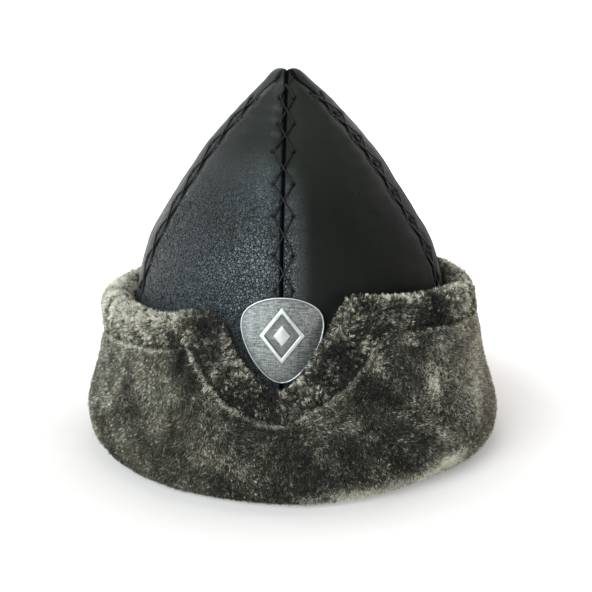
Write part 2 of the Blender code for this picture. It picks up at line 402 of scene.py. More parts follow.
seamRows = {name: seamControls(*pair) for name, pair in seamPanels.items()}
# the side seams' top ends meet in the middle of the tip, too far apart to be read as pairs
tipMiddle = (seamRows["front"][-1] + seamRows["back"][-1]) / 2
tipReach = np.linalg.norm(seamRows["front"][-1] - seamRows["back"][-1]) / 2
for name in ("left", "right"):
    outward = (seamRows[name][-1] - tipMiddle) * (1, 1, 0)
    seamRows[name] = np.vstack([seamRows[name], tipMiddle + unit(outward) * tipReach])
print("seams", {name: len(rows) for name, rows in seamRows.items()})

fine = np.linspace(0, len(seamRows["front"]) - 1, 4000)
finePath = along(seamRows["front"], fine)
fineLength = np.concatenate([[0], np.cumsum(np.linalg.norm(np.diff(finePath, axis=0), axis=1))])
rowCount = int(fineLength[-1] / crown["rowStep"])
rowPlaces = np.interp(np.linspace(0, fineLength[-1], rowCount + 1), fineLength, fine)
seamPaths = {name: along(rows, rowPlaces) for name, rows in seamRows.items()}
tipDown = (fineLength[-1] - np.linspace(0, fineLength[-1], rowCount + 1))[:, None]
for name, path in seamPaths.items():
    soft = evenedDown(path)
    seamPaths[name] = path + (soft - path) * smoothStep(10 * mm, 26 * mm, tipDown)
# arc length of each seam at each row, counted down from the tip
seamDown = {}
for name, path in seamPaths.items():
    steps = np.linalg.norm(np.diff(path, axis=0), axis=1)
    up = np.concatenate([[0], np.cumsum(steps)])
    seamDown[name] = up[-1] - up
middles = (seamPaths["front"] + seamPaths["back"]) / 2
halfWidths = (seamPaths["back"][:, 1] - seamPaths["front"][:, 1]) / 2 / crown["depthRatio"]
slopeOut = np.gradient(seamPaths["front"][:, 2])
slopeUp = -np.gradient(halfWidths)
slopeSize = np.hypot(slopeOut, slopeUp)
slopeOut, slopeUp = slopeOut / slopeSize, slopeUp / slopeSize
# near the tip the panels all but touch, so that no light shows through from behind
gaps = crown["tipGap"] + (crown["gap"] - crown["tipGap"]) * smoothStep(4 * mm, 14 * mm, tipDown[:, 0])


def seamAngles(name):
    offset = seamPaths[name] - middles
    return np.arctan2(offset[:, 0], -offset[:, 1] / crown["depthRatio"])


# Lacing: where the thread goes through the leather, counted down each seam from the tip

lacing = {
    "threadRadius": 0.5 * mm,
    "steps": 18,
    "sunkEnds": 2.1 * mm,
    "climb": 2.4 * mm,  # from a hole to the thread's middle, within climbShare of its length
    "climbShare": 0.09,
    "crossing": (0.75, -0.3),  # how far the upper and the lower thread stand off there, in radii
    "crossingShare": 0.09,
    "dark": (0.0012, 0.0012, 0.0013),
    "light": (0.006, 0.006, 0.0065),
    "holes": {
        # mm down the seam from the tip, hole to the left of it, hole to the right
        "front": (
            (26.6, 3.0, 4.9), (45.1, 3.0, 5.2), (63.5, 6.0, 5.6), (83.2, 5.3, 5.9),
            (102.2, 4.5, 6.1), (124.2, 4.2, 6.4), (143.2, 3.6, 6.4), (162.0, 4.0, 6.0),
        ),
        "left": (
            (27.8, 4.6, 4.4), (43.6, 5.0, 5.4), (62.8, 5.2, 5.0), (83.5, 5.4, 4.6),
            (101.0, 5.6, 4.4), (120.0, 5.2, 5.0), (139.0, 5.5, 5.2), (158.5, 5.2, 5.4),
        ),
        "right": (
            (25.0, 4.4, 4.6), (41.0, 5.0, 5.0), (58.5, 5.4, 5.2), (77.0, 5.0, 5.6),
            (96.5, 5.2, 5.2), (115.0, 5.6, 5.0), (134.5, 5.2, 5.4), (154.0, 5.2, 5.2),
        ),
        "back": (
            (24.0, 3.6, 3.8), (43.0, 4.8, 5.0), (62.5, 5.4, 5.2), (81.5, 5.6, 5.6),
            (101.5, 5.2, 5.8), (120.5, 5.6, 5.4), (140.5, 5.8, 5.6), (159.5, 5.4, 5.8),
        ),
    },
}
holes = {name: np.array(rows) * mm for name, rows in lacing["holes"].items()}


# Leather panels

leatherShape = {
    "edgeRound": 1.7 * mm,
    "edgeDrop": 2.6 * mm,
    "valley": 1.9 * mm,
    "valleyReach": 5.0 * mm,
    "turnIn": 1.6 * mm,
    "turnInReach": 3.2 * mm,
    "swellHigh": 0.9 * mm,
    "swellLow": 1.1 * mm,
    "tipHump": 0.9 * mm,
    "tipDip": 0.8 * mm,
    "holeDrop": 0.9 * mm,
    "holeReach": 1.5 * mm,
    "puckerHeight": 0.36 * mm,
    "puckerReach": 8.0 * mm,
    "wrinkleHeight": 0.30 * mm,
    "wrinkleSize": 38 * mm,
    "fineWrinkleHeight": 0.10 * mm,
    "fineWrinkleSize": 13 * mm,
    "holeShadeReach": 1.5 * mm,
    "foot": (8 * mm, 20 * mm),
}


def sheetNormals(points):
    across = np.gradient(points, axis=1)
    upward = np.gradient(points, axis=0)
    normals = unit(np.cross(across, upward))
    # the rows at the tip are too narrow to have their own
    normals[-3:] = normals[-4]
    return normals


def tipFade(down, least):
    # seams get shallow where they meet at the tip
    return (least + (1 - least) * smoothStep(2 * mm, 14 * mm, down))[:, None]


def valleyDepth(distance, down):
    shape = leatherShape
    return shape["valley"] * bell(distance / shape["valleyReach"]) * tipFade(down, 0.1)


def holeDistances(distance, down, name, side):
    # how far it is to each hole of a seam; side 0 is the left of its pair, 1 the right
    for place, *reaches in holes[name]:
        yield np.hypot(distance - reaches[side], down[:, None] - place)


def seamDent(distance, down, name, side):
    # how far the leather goes in beside a laced seam
    shape = leatherShape
    t = np.clip(1 - distance / shape["edgeRound"], 0, 1)
    dent = shape["edgeDrop"] * (1 - np.sqrt(np.maximum(1 - t * t, 0))) * tipFade(down, 0.28)
    dent += valleyDepth(distance, down)
    for away in holeDistances(distance, down, name, side):
        dent += shape["holeDrop"] * bell(away / shape["holeReach"])
    stitched = holes[name][:, 0]
    phase = 2 * math.pi * np.interp(down, stitched, np.arange(len(stitched)))[:, None]
    laced = smoothStep(stitched[-1] + 8 * mm, stitched[-1], down) * smoothStep(12 * mm, 24 * mm, down)
    fade = np.exp(-distance / shape["puckerReach"]) * smoothStep(0.4 * mm, 2 * mm, distance)
    return dent - laced[:, None] * shape["puckerHeight"] * fade * np.cos(phase * 2)


def holeShade(distance, down, name, side):
    shade = np.zeros_like(distance)
    for away in holeDistances(distance, down, name, side):
        shade = np.maximum(shade, np.exp(-((away / leatherShape["holeShadeReach"]) ** 4)))
    return shade


def sideSwell(points):
    # the crown's sides stand out a little further than the CAD ones, more so at the right and low down
    shape = leatherShape
    flat = points * (1, 1, 0)
    side = np.abs(points[..., 0]) / np.maximum(np.linalg.norm(flat, axis=-1), 1e-6)
    high = points[..., 2]
    low = shape["swellLow"] * smoothStep(134 * mm, 122 * mm, high)
    left = 1.2 * shape["swellHigh"] * smoothStep(192 * mm, 172 * mm, high)
    right = shape["swellHigh"] * (1 + smoothStep(152 * mm, 164 * mm, high))
    right = right * smoothStep(215 * mm, 204 * mm, high)
    amount = (low + np.where(points[..., 0] < 0, left, right)) * side ** 3
    return unit(flat) * amount[..., None]


def nearestOn(tree, spots):
    flat = [list(tree.find_nearest(Vector(spot))[0]) for spot in spots.reshape(-1, 3)]
    return np.array(flat).reshape(spots.shape)


def clearOfEdges(values):
    # columns at the seams take the value of the first one that is clear of the guide's edge
    clear = crown["clearColumns"]
    values[:, :clear] = values[:, clear:clear + 1]
    values[:, -clear:] = values[:, -clear - 1:-clear]
    return values


def leatherSheet(node, startSeam, endSeam):
    # a panel's smooth outside and inside as grids of points, with rows from the foot to the tip
    start = seamAngles(startSeam)
    end = seamAngles(endSeam)
    end = np.where(end <= start, end + 2 * math.pi, end)
    width = (end - start) * halfWidths - gaps
    middleCount = max(int((width.max() - 2 * edgeColumns[-1]) / crown["middleStep"]), 4)
    scale = np.clip(width / 2 / (edgeColumns[-1] * 1.35), 0.02, 1.0)[:, None]
    left = edgeColumns[None, :] * scale
    right = width[:, None] - left[:, ::-1]
    share = (np.arange(1, middleCount) / middleCount)[None, :]
    middle = left[:, -1:] + (right[:, :1] - left[:, -1:]) * share
    distance = np.concatenate([left, middle, right], axis=1)
    angle = start[:, None] + (distance + gaps[:, None] / 2) / halfWidths[:, None]
    # a first guess that stands off the panel, and is then moved onto the smoothed CAD node
    aside = 2.0 * mm
    radius = halfWidths[:, None] + aside * slopeOut[:, None]
    guess = np.stack([
        middles[:, 0][:, None] + radius * np.sin(angle),
        middles[:, 1][:, None] - crown["depthRatio"] * radius * np.cos(angle),
        np.broadcast_to((middles[:, 2] + aside * slopeUp)[:, None], angle.shape),
    ], axis=-1)
    smooth = creasedCopy(node, "smoothGuide", 3)
    tree = BVHTree.FromObject(smooth, bpy.context.evaluated_depsgraph_get())
    points = guess + clearOfEdges(evenedDown(nearestOn(tree, guess) - guess))
    normals = sheetNormals(points)
    behind = points - normals * (crown["wall"] + 0.9 * mm)
    depth = clearOfEdges(nearestOn(tree, behind) - points)
    bpy.data.objects.remove(smooth)
    points = points + sideSwell(points)
    fromEnd = width[:, None] - distance
    # seam allowances turn in, so that the groove between two panels is deep
    foot = smoothStep(*leatherShape["foot"], points[:, :, 2])
    turned = np.zeros(distance.shape)
    for away, down in ((distance, seamDown[startSeam]), (fromEnd, seamDown[endSeam])):
        allowance = leatherShape["turnIn"] * bell(away / leatherShape["turnInReach"])
        turned += valleyDepth(away, down) + allowance * tipFade(down, 0.0)
    return {
        "points": points, "normals": normals, "inner": points + depth - normals * (turned * foot)[:, :, None],
        "fromStart": distance, "fromEnd": fromEnd, "edge": np.minimum(distance, fromEnd), "foot": foot,
    }


def dentedPoints(sheet, startSeam, endSeam):
    shape = leatherShape
    flat = sheet["points"].reshape(-1, 3)
    lift = shape["wrinkleHeight"] * waves(flat, shape["wrinkleSize"], 3)
    lift += shape["fineWrinkleHeight"] * waves(flat, shape["fineWrinkleSize"], 5, 30)
    lift = lift.reshape(sheet["points"].shape[:2])
    lift *= smoothStep(0, 12 * mm, sheet["edge"])
    width = sheet["fromStart"][:, -1:]
    down = seamDown[startSeam][:, None]
    hump = np.sin(math.pi * np.clip(sheet["fromStart"] / width, 0, 1)) ** 0.6
    lift += shape["tipHump"] * hump * bell((down - 5 * mm) / (4.5 * mm))
    lift -= shape["tipDip"] * bell(down / (2.6 * mm))
    lift -= seamDent(sheet["fromStart"], seamDown[startSeam], startSeam, 1)
    lift -= seamDent(sheet["fromEnd"], seamDown[endSeam], endSeam, 0)
    return sheet["points"] + sheet["normals"] * (lift * sheet["foot"])[:, :, None]


def gridOf(bm, points, flip):
    # a grid whose vertices are moved to the rows of points
    rows, columns = points.shape[:2]
    made = bmesh.ops.create_grid(bm, x_segments=columns - 1, y_segments=rows - 1, size=1.0)
    for vert in made["verts"]:
        i = round((vert.co.x + 1) / 2 * (columns - 1))
        j = round((vert.co.y + 1) / 2 * (rows - 1))
        vert.co = points[j, i]
    faces = list({face for vert in made["verts"] for face in vert.link_faces})
    if flip:
        bmesh.ops.reverse_faces(bm, faces=faces)
    return faces


def leatherPanel(name, node, startSeam, endSeam, look):
    sheet = leatherSheet(node, startSeam, endSeam)
    outer = dentedPoints(sheet, startSeam, endSeam)
    rows, columns = outer.shape[:2]
    pickRows = np.unique(np.append(np.arange(0, rows, crown["innerRowEvery"]), rows - 1))
    pickColumns = np.unique(np.linspace(0, columns - 1, crown["innerColumns"]).astype(int))
    bm = bmesh.new()
    gridOf(bm, outer, flip=False)
    for face in gridOf(bm, sheet["inner"][np.ix_(pickRows, pickColumns)], flip=True):
        face.material_index = 1
    bmesh.ops.bridge_loops(bm, edges=[edge for edge in bm.edges if edge.is_boundary])
    bmesh.ops.triangulate(bm, faces=[face for face in bm.faces if len(face.verts) > 4])
    bmesh.ops.recalc_face_normals(bm, faces=bm.faces)
    openEdges = sum(1 for edge in bm.edges if not edge.is_manifold)
    piece = linkedObject(name, bm)
    mesh = piece.data
    mesh.shade_smooth()
    mesh.set_sharp_from_angle(angle=math.radians(60))
    points = vertexValues(mesh, "co")
    tree = pointTree(outer.reshape(-1, 3))
    nearest = np.array([tree.find(spot)[1] for spot in points])
    shade = np.maximum(
        holeShade(sheet["fromStart"], seamDown[startSeam], startSeam, 1),
        holeShade(sheet["fromEnd"], seamDown[endSeam], endSeam, 0),
    ).reshape(-1)[nearest]
    # painted shade: masks for the seam's groove and the lacing holes
    pointValues(mesh, "seamGrooveShade", smoothStep(1.9 * mm, 0.9 * mm, sheet["edge"].reshape(-1)[nearest]))
    pointValues(mesh, "lacingHoleShade", shade)
    # a painted sheen beside the front seam: paler colour there, with more grain and coat
    front = sheet["fromStart"] if startSeam == "front" else sheet["fromEnd"]
    reach = look["besideReach"]
    beside = smoothStep(reach, 2 * mm, front.reshape(-1)[nearest]) if reach else 0 * shade
    pointValues(mesh, "seamSheen", beside * smoothStep(175 * mm, 125 * mm, points[:, 2]))
    mesh.materials.append(leatherMaterial(name, look))
    mesh.materials.append(suede)
    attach(piece, "root")
    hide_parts(node)
    print(name, len(mesh.polygons), "faces,", openEdges, "open edges")
    return sheet


def leatherMaterial(name, look):
    made, tree, shader, place = newMaterial(name, {
        "Specular IOR Level": look["specular"], "Coat Roughness": look["coatRoughness"],
    })
    grain = useGroup(tree, pebbleGrain, {
        "Place": place, "Pebbles per metre": look["pebbles"], "Crumple": look["crumple"],
    })
    height = makeNode(tree, "ShaderNodeSeparateXYZ", {"Vector": place}).outputs["Z"]
    beside = ownValue(tree, "seamSheen")
    laced = makeMath(tree, "MAXIMUM", ownValue(tree, "seamGrooveShade"), ownValue(tree, "lacingHoleShade"))
    clouds = cloudsOn(tree, place, *look["clouds"])
    patches = cloudsOn(tree, place, *look["glossPatches"])
    # the grain fades upward
    lowPart = makeFade(tree, height, look["smoothAbove"], look["grainBelow"], 0.0, 1.0)
    lowShare = makeMath(tree, "MULTIPLY_ADD", lowPart, 1 - look["topGrain"], look["topGrain"])
    grained = makeMath(tree, "MULTIPLY_ADD", beside, 1 - look["grain"], look["grain"])
    low = makeMath(tree, "MULTIPLY", lowShare, grained)
    cracks = makeMath(tree, "MULTIPLY", grain["Creases"], low)
    # colour: clouded; the lower colours paint a reflection low on the front-left panel and shade low on the
    # others; a painted sheen beside the front seam and low on the front-left panel; painted shade in the
    # creases, the seam's groove and the lacing holes
    upper = mixColours(tree, clouds, look["dark"], look["light"])
    # painted reflection low on the front-left panel, painted shade low on the others
    lower = mixColours(tree, clouds, look["lowDark"], look["lowLight"])
    # painted sheen: toward the sheen colour beside the front seam, and low on the front-left panel
    lowSheen = makeFade(tree, height, *look["sheenBelow"], 0.0, look["lowSheenShare"])
    paintedSheen = makeMath(tree, "MAXIMUM", makeMath(tree, "MULTIPLY", beside, look["besideShare"]), lowSheen)
    tone = mixColours(tree, paintedSheen, mixColours(tree, lowShare, upper, lower), look["beside"])
    # painted shade: the grain's creases go nearly black
    creaseShaded = mixColours(tree, makeMath(tree, "MULTIPLY", cracks, look["creaseShare"]), tone, look["crease"])
    # painted shade: nearly black in the seam's groove and the lacing holes
    tree.links.new(mixColours(tree, laced, creaseShaded, look["seam"]), shader.inputs["Base Color"])
    # gloss: dull in creases and at the lacing
    gloss = makeMath(tree, "MULTIPLY_ADD", patches, look["roughRange"], look["roughLow"])
    worked = makeMath(tree, "MAXIMUM", laced, cracks)
    tree.links.new(makeMath(tree, "MULTIPLY_ADD", worked, look["dulled"], gloss), shader.inputs["Roughness"])
    body = makeMath(tree, "MULTIPLY_ADD", lowPart, look["coat"] - look["topCoat"], look["topCoat"])
    rise = makeMath(tree, "SUBTRACT", look["seamCoat"], body)
    coat = makeMath(tree, "MULTIPLY_ADD", beside, rise, body)
    unworked = makeMath(tree, "SUBTRACT", 1.0, worked)
    tree.links.new(makeMath(tree, "MULTIPLY", coat, unworked), shader.inputs["Coat Weight"])
    pebbled = makeMath(tree, "MULTIPLY", grain["Height"], low)
    normal = addBump(tree, shader, pebbled, look["grainStrength"], look["grainDepth"])
    tree.links.new(normal, shader.inputs["Coat Normal"])
    return made


fleshSide = {
    "dark": (0.035, 0.033, 0.03),
    "light": (0.075, 0.07, 0.063),
    "napScale": 1400.0,
    "napDepth": 0.2 * mm,
}


def suedeMaterial():
    made, tree, shader, place = newMaterial("leather_flesh_side", {
        "Roughness": 0.9, "Specular IOR Level": 0.2,
    })
    tone = mixColours(tree, cloudsOn(tree, place, 60.0, 1.6), fleshSide["dark"], fleshSide["light"])
    tree.links.new(tone, shader.inputs["Base Color"])
    nap = makeNoise(tree, place, fleshSide["napScale"], 3.0)["Fac"]
    addBump(tree, shader, nap, 0.5, fleshSide["napDepth"])
    return made


blackLeather = {
    "dark": (0.0064, 0.0070, 0.0050),
    "light": (0.0100, 0.0108, 0.0078),
    # paler, bluer colours low down: a painted reflection of the key light
    "lowDark": (0.0090, 0.0140, 0.0158),
    "lowLight": (0.0250, 0.0334, 0.0366),
    # painted sheen beside the front seam
    "beside": (0.066, 0.078, 0.081),
    "lowSheenShare": 0.36,
    "besideReach": 42 * mm,
    "besideShare": 0.8,
    "creaseShare": 0.95,
    "dulled": 0.45,
    "clouds": (26.0, 1.8),  # how many per metre, and their contrast
    "glossPatches": (9.0, 2.2),
    # painted shade in the grain's creases
    "crease": (0.0006, 0.0007, 0.0008),
    # painted shade in the seam's groove and the lacing holes
    "seam": (0.0006, 0.0007, 0.0008),
    "specular": 0.15,
    "coat": 0.9,
    "topCoat": 0.15,
    "seamCoat": 1.0,
    "coatRoughness": 0.30,
    "pebbles": 960.0,
    "crumple": 0.20,
    "roughLow": 0.36,
    "roughRange": 0.12,
    "grain": 1.0,
    "grainStrength": 1.0,
    "grainDepth": 0.00044,
    "smoothAbove": 185 * mm,
    "grainBelow": 140 * mm,
    "sheenBelow": (150 * mm, 108 * mm),
    "topGrain": 0.12,
}
smootherLeather = {
    **blackLeather,
    "dark": (0.0100, 0.0110, 0.0088),
    "light": (0.0130, 0.0140, 0.0112),
    # darker low down: a painted shade
    "lowDark": (0.0064, 0.0072, 0.0059),
    "lowLight": (0.0086, 0.0095, 0.0079),
    # painted sheen beside the front seam
    "beside": (0.050, 0.060, 0.063),
    "lowSheenShare": 0.0,
    "besideReach": 17 * mm,
    "specular": 0.035,
    "coat": 0.01,
    "topCoat": 0.01,
    "roughLow": 0.50,
    "grain": 0.2,
    "topGrain": 0.0,
}
backLeather = {
    **smootherLeather,
    # darker low down: a painted shade
    "lowDark": (0.0068, 0.0077, 0.0063),
    "lowLight": (0.0097, 0.0107, 0.0088),
    "besideReach": 0.0,
    "specular": 0.12,
    "grain": 0.5,
}
shinierLeather = {**backLeather, "specular": 0.45, "coat": 0.6, "topCoat": 0.2}
suede = suedeMaterial()
panels = (
    # piece, CAD node, seam at its start, seam at its end, leather
    ("leather_front_left", "panel_front_left", "left", "front", blackLeather),
    ("leather_front_right", "panel_front_right", "front", "right", smootherLeather),
    ("leather_back_right", "panel_back_right", "right", "back", backLeather),
    ("leather_back_left", "panel_back_left", "back", "left", shinierLeather),
)
sheets = {node: leatherPanel(name, node, *rest) for name, node, *rest in panels}
print("leather panels made")


# Crossed lacing

def sheetPlace(sheet, fromWhich, name, down, distance):
    # a point on a panel's smooth outside and its normal, so far down a seam and so far from it
    rows = seamDown[name]
    row = np.interp(down, rows[::-1], np.arange(len(rows))[::-1])
    low = int(min(row, len(rows) - 2))
    part = row - low
    found = []
    for kind in ("points", "normals"):
        sides = []
        for j in (low, low + 1):
            places = sheet[fromWhich][j]
            order = np.argsort(places)
            values = sheet[kind][j][order]
            sides.append([np.interp(distance, places[order], values[:, axis]) for axis in range(3)])
        found.append(np.array(sides[0]) * (1 - part) + np.array(sides[1]) * part)
    return found[0], unit(found[1])


def threadPath(name, startDown, startAcross, endDown, endAcross, over, lower=0.0):
    # across is negative on the left panel of the seam and positive on the right one
    leftNode, rightNode = seamPanels[name]
    path = []
    for t in np.linspace(0, 1, lacing["steps"] + 1):
        down = startDown + (endDown - startDown) * t
        across = startAcross + (endAcross - startAcross) * t
        if across < 0:
            spot, normal = sheetPlace(sheets[leftNode], "fromEnd", name, down, -across)
        else:
            spot, normal = sheetPlace(sheets[rightNode], "fromStart", name, down, across)
        ends = min(t, 1 - t)
        sunk = leatherShape["valley"] * 0.55 * bell(across / leatherShape["valleyReach"])
        rise = -lacing["sunkEnds"] + lacing["climb"] * min(ends / lacing["climbShare"], 1.0) ** 0.6
        rise -= sunk * smoothStep(2 * mm, 14 * mm, down)
        crossing = lacing["crossing"][0 if over else 1] * lacing["threadRadius"]
        rise += bell((t - 0.5) / lacing["crossingShare"]) * crossing - lower
        path.append(spot + normal * rise)
    return path


def lacePiece(name, surface):
    rows = holes[name]
    paths = []
    for low, high in zip(rows, rows[1:]):
        paths.append(threadPath(name, low[0], -low[1], high[0], high[2], True))
        paths.append(threadPath(name, low[0], low[2], high[0], -high[1], False))
    if name == "front":
        first = rows[0]
        tip = first[0] - 11 * mm
        paths.append(threadPath(name, tip, -0.6 * mm, first[0], first[2], True))
        paths.append(threadPath(name, tip, 0.6 * mm, first[0], -first[1], False))
        for side, down, across, lastDown, lower in tipThreads:
            sheet = sheets[seamPanels[name][0 if side < 0 else 1]]
            row = int(np.argmin(np.abs(seamDown[name] - lastDown)))
            last = side * (sheet["fromStart"][row, -1] - 1.2 * mm)
            paths.append(threadPath(name, down, side * across, lastDown, last, True, lower))
    curve = bpy.data.curves.new("lace", "CURVE")
    curve.dimensions = "3D"
    curve.bevel_depth = lacing["threadRadius"]
    curve.bevel_resolution = 2
    curve.use_fill_caps = True
    for path in paths:
        spline = curve.splines.new("POLY")
        spline.points.add(len(path) - 1)
        for point, spot in zip(spline.points, path):
            point.co = (*spot, 1.0)
    holder = placed("lace", curve)
    mesh = finishedMesh(holder)
    bpy.data.objects.remove(holder)
    mesh.shade_smooth()
    mesh.materials.clear()
    mesh.materials.append(surface)
    piece = placed("lacing_" + name, mesh)
    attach(piece, "root")


def threadMaterial():
    made, tree, shader, place = newMaterial("waxed_thread", {"Roughness": 0.5, "Specular IOR Level": 0.2})
    twist = makeNoise(tree, place, 900.0, 2.0)["Fac"]
    tone = mixColours(tree, twist, lacing["dark"], lacing["light"])
    tree.links.new(tone, shader.inputs["Base Color"])
    addBump(tree, shader, twist, 0.4, 0.0002)
    return made


# threads over the front panels' tops: side, down and across at the start, down at the end,
# how much lower than the others
tipThreads = (
    (-1, 8.5 * mm, 4.5 * mm, 13.5 * mm, 1.5 * mm),
    (1, 19.0 * mm, 0.5 * mm, 9.5 * mm, 1.0 * mm),
)
thread = threadMaterial()
for name in lacing["holes"]:
    lacePiece(name, thread)
print("lacing made")


# Badge

badge = {
    "height": 84 * mm,
    "lift": 0.35 * mm,
    "plate": 1.5 * mm,
    "rim": 0.7 * mm,
    "rimSlope": 0.35 * mm,
    "rimRise": 0.45 * mm,
    "strokeRise": 0.85 * mm,
    "frame": (11.6 * mm, 14.6 * mm),
    "stroke": 2.0 * mm,
    "stud": (4.4 * mm, 5.6 * mm),
    "motifUp": 1.0 * mm,
    "bevel": 0.28 * mm,
    "cuts": 15,
    "fitReach": 30 * mm,
    "brushed": ((260.0, 260.0, 1900.0), (1900.0, 1900.0, 420.0)),
    "lowTones": ((0.017, 0.018, 0.017), (0.235, 0.241, 0.23)),
    "clouded": (0.10, 0.104, 0.10),
    "darkerRound": (0.07, 0.073, 0.07),
    "highTones": ((0.43, 0.435, 0.42), (0.32, 0.325, 0.31)),
    "outline": (
        # half-width, height above the middle, in mm
        (0.0, 20.4), (8.0, 19.6), (14.0, 17.5), (18.8, 14.2), (21.3, 10.0), (21.6, 5.2),
        (20.4, -0.6), (17.8, -7.0), (14.2, -13.2), (9.8, -18.6), (5.0, -22.6), (0.0, -24.2),
    ),
}


def outlineReach(angle):
    # distance from the middle of the badge to its outline
    turns = [math.atan2(up, across) for across, up in badge["outline"]]
    sizes = [math.hypot(across, up) * mm for across, up in badge["outline"]]
    turn = math.atan2(math.sin(angle), abs(math.cos(angle)))
    return float(np.interp(turn, turns[::-1], sizes[::-1]))


def raisedFace(bm, face, height):
    made = bmesh.ops.extrude_face_region(bm, geom=[face], use_keep_orig=True)
    top = [item for item in made["geom"] if isinstance(item, bmesh.types.BMFace)][0]
    bmesh.ops.translate(bm, vec=(0, 0, height), verts=top.verts)
    return top


def insetFace(bm, face, thickness, drop=0.0):
    bmesh.ops.inset_region(bm, faces=[face], thickness=thickness, use_even_offset=True, use_boundary=True)
    bmesh.ops.translate(bm, vec=(0, 0, -drop), verts=face.verts)


def roundedEdges(bm, edges, offset):
    bmesh.ops.bevel(
        bm, geom=edges, offset=offset, offset_type="OFFSET", affect="EDGES",
        segments=3, profile=0.5, material=-1,
    )


def shieldPlate():
    bm = bmesh.new()
    made = bmesh.ops.create_circle(bm, cap_ends=True, radius=1.0, segments=96)
    for vert in made["verts"]:
        angle = math.atan2(vert.co.y, vert.co.x)
        reach = outlineReach(angle)
        vert.co = (reach * math.cos(angle), reach * math.sin(angle), 0.0)
    for _ in range(4):
        bmesh.ops.smooth_vert(
            bm, verts=made["verts"], factor=0.5, use_axis_x=True, use_axis_y=True, use_axis_z=True
        )
    top = raisedFace(bm, bm.faces[:][0], badge["plate"] + badge["rimRise"])
    outerEdges = list(top.edges)
    insetFace(bm, top, badge["rim"])
    innerEdges = list(top.edges)
    insetFace(bm, top, badge["rimSlope"], badge["rimRise"])
    for step in (0.5, 0.7, 1.2, 2.4):
        insetFace(bm, top, step * mm)
    roundedEdges(bm, outerEdges + innerEdges, badge["bevel"])
    return bm


def lozenge(size, stroke):
    # a lozenge bar, with its middle lowered to the plate when it has a stroke
    bm = bmesh.new()
    made = bmesh.ops.create_circle(bm, cap_ends=True, radius=1.0, segments=4)
    low = badge["plate"] - 0.3 * mm
    bmesh.ops.scale(bm, vec=(size[0], size[1], 1.0), verts=made["verts"])
    bmesh.ops.translate(bm, vec=(0, badge["motifUp"], low), verts=made["verts"])
    top = raisedFace(bm, bm.faces[:][0], badge["strokeRise"] + 0.3 * mm)
    edges = list(top.edges)
    if stroke:
        insetFace(bm, top, stroke)
        edges += list(top.edges)
        bmesh.ops.inset_region(bm, faces=[top], thickness=0.3 * mm, use_even_offset=True)
        bmesh.ops.translate(bm, vec=(0, 0, 0.02 * mm - badge["strokeRise"]), verts=top.verts)
    roundedEdges(bm, edges, badge["bevel"])
    return bm


def faceTerms(x, z):
    across = x / badge["fitReach"]
    up = (z - badge["height"]) / badge["fitReach"]
    return [across ** i * up ** j for i in range(5) for j in range(4)]


def frontFit():
    # a smooth formula for the crown's face behind the badge
    near = []
    for node in seamPanels["front"]:
        flat = sheets[node]["points"].reshape(-1, 3)
        keep = (np.abs(flat[:, 0]) < 30 * mm) & (np.abs(flat[:, 2] - badge["height"]) < 32 * mm)
        near.append(flat[keep & (flat[:, 1] < 0)])
    spots = np.concatenate(near)
    terms = np.stack(faceTerms(spots[:, 0], spots[:, 2]), axis=1)
    return np.linalg.lstsq(terms, spots[:, 1], rcond=None)[0]


frontFormula = frontFit()


def frontDepth(x, z):
    return float(np.dot(faceTerms(x, z), frontFormula))


def bentToCrown(spot):
    x, z, lift = spot.x, badge["height"] + spot.y, spot.z + badge["lift"]
    step = 0.5 * mm
    slopeX = (frontDepth(x + step, z) - frontDepth(x - step, z)) / (2 * step)
    slopeZ = (frontDepth(x, z + step) - frontDepth(x, z - step)) / (2 * step)
    normal = Vector((slopeX, -1.0, slopeZ)).normalized()
    return Vector((x, frontDepth(x, z), z)) + normal * lift


def makeBadge(surface):
    whole = bmesh.new()
    for part in (shieldPlate(), lozenge(badge["frame"], badge["stroke"]), lozenge(badge["stud"], None)):
        mesh = bpy.data.meshes.new("part")
        bmesh.ops.recalc_face_normals(part, faces=part.faces)
        part.to_mesh(mesh)
        part.free()
        whole.from_mesh(mesh)
        bpy.data.meshes.remove(mesh)
    # cut across and upward, so that the faces can bend with the crown
    for axis, reach in ((0, 23 * mm), (1, 25 * mm)):
        for place in np.linspace(-reach, reach, badge["cuts"]):
            spot, way = [0.0, 0.0, 0.0], [0.0, 0.0, 0.0]
            spot[axis], way[axis] = place, 1.0
            everything = whole.verts[:] + whole.edges[:] + whole.faces[:]
            bmesh.ops.bisect_plane(whole, geom=everything, dist=1e-7, plane_co=spot, plane_no=way)
    heights = []
    edge = []
    for vert in whole.verts:
        heights.append(vert.co.z)
        reach = outlineReach(math.atan2(vert.co.y, vert.co.x))
        edge.append(reach - math.hypot(vert.co.x, vert.co.y))
        vert.co = bentToCrown(vert.co)
    piece = linkedObject("shield_badge", whole)
    mesh = piece.data
    mesh.shade_smooth()
    mesh.set_sharp_from_angle(angle=math.radians(38))
    raised = smoothStep(badge["plate"] + 0.1 * mm, badge["plate"] + 0.55 * mm, np.array(heights))
    pointValues(mesh, "raised", raised)
    pointValues(mesh, "edgeNear", np.exp(-np.maximum(np.array(edge) - badge["rim"], 0) / (1.6 * mm)))
    mesh.materials.append(surface)
    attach(piece, "root")
    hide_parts("badge")


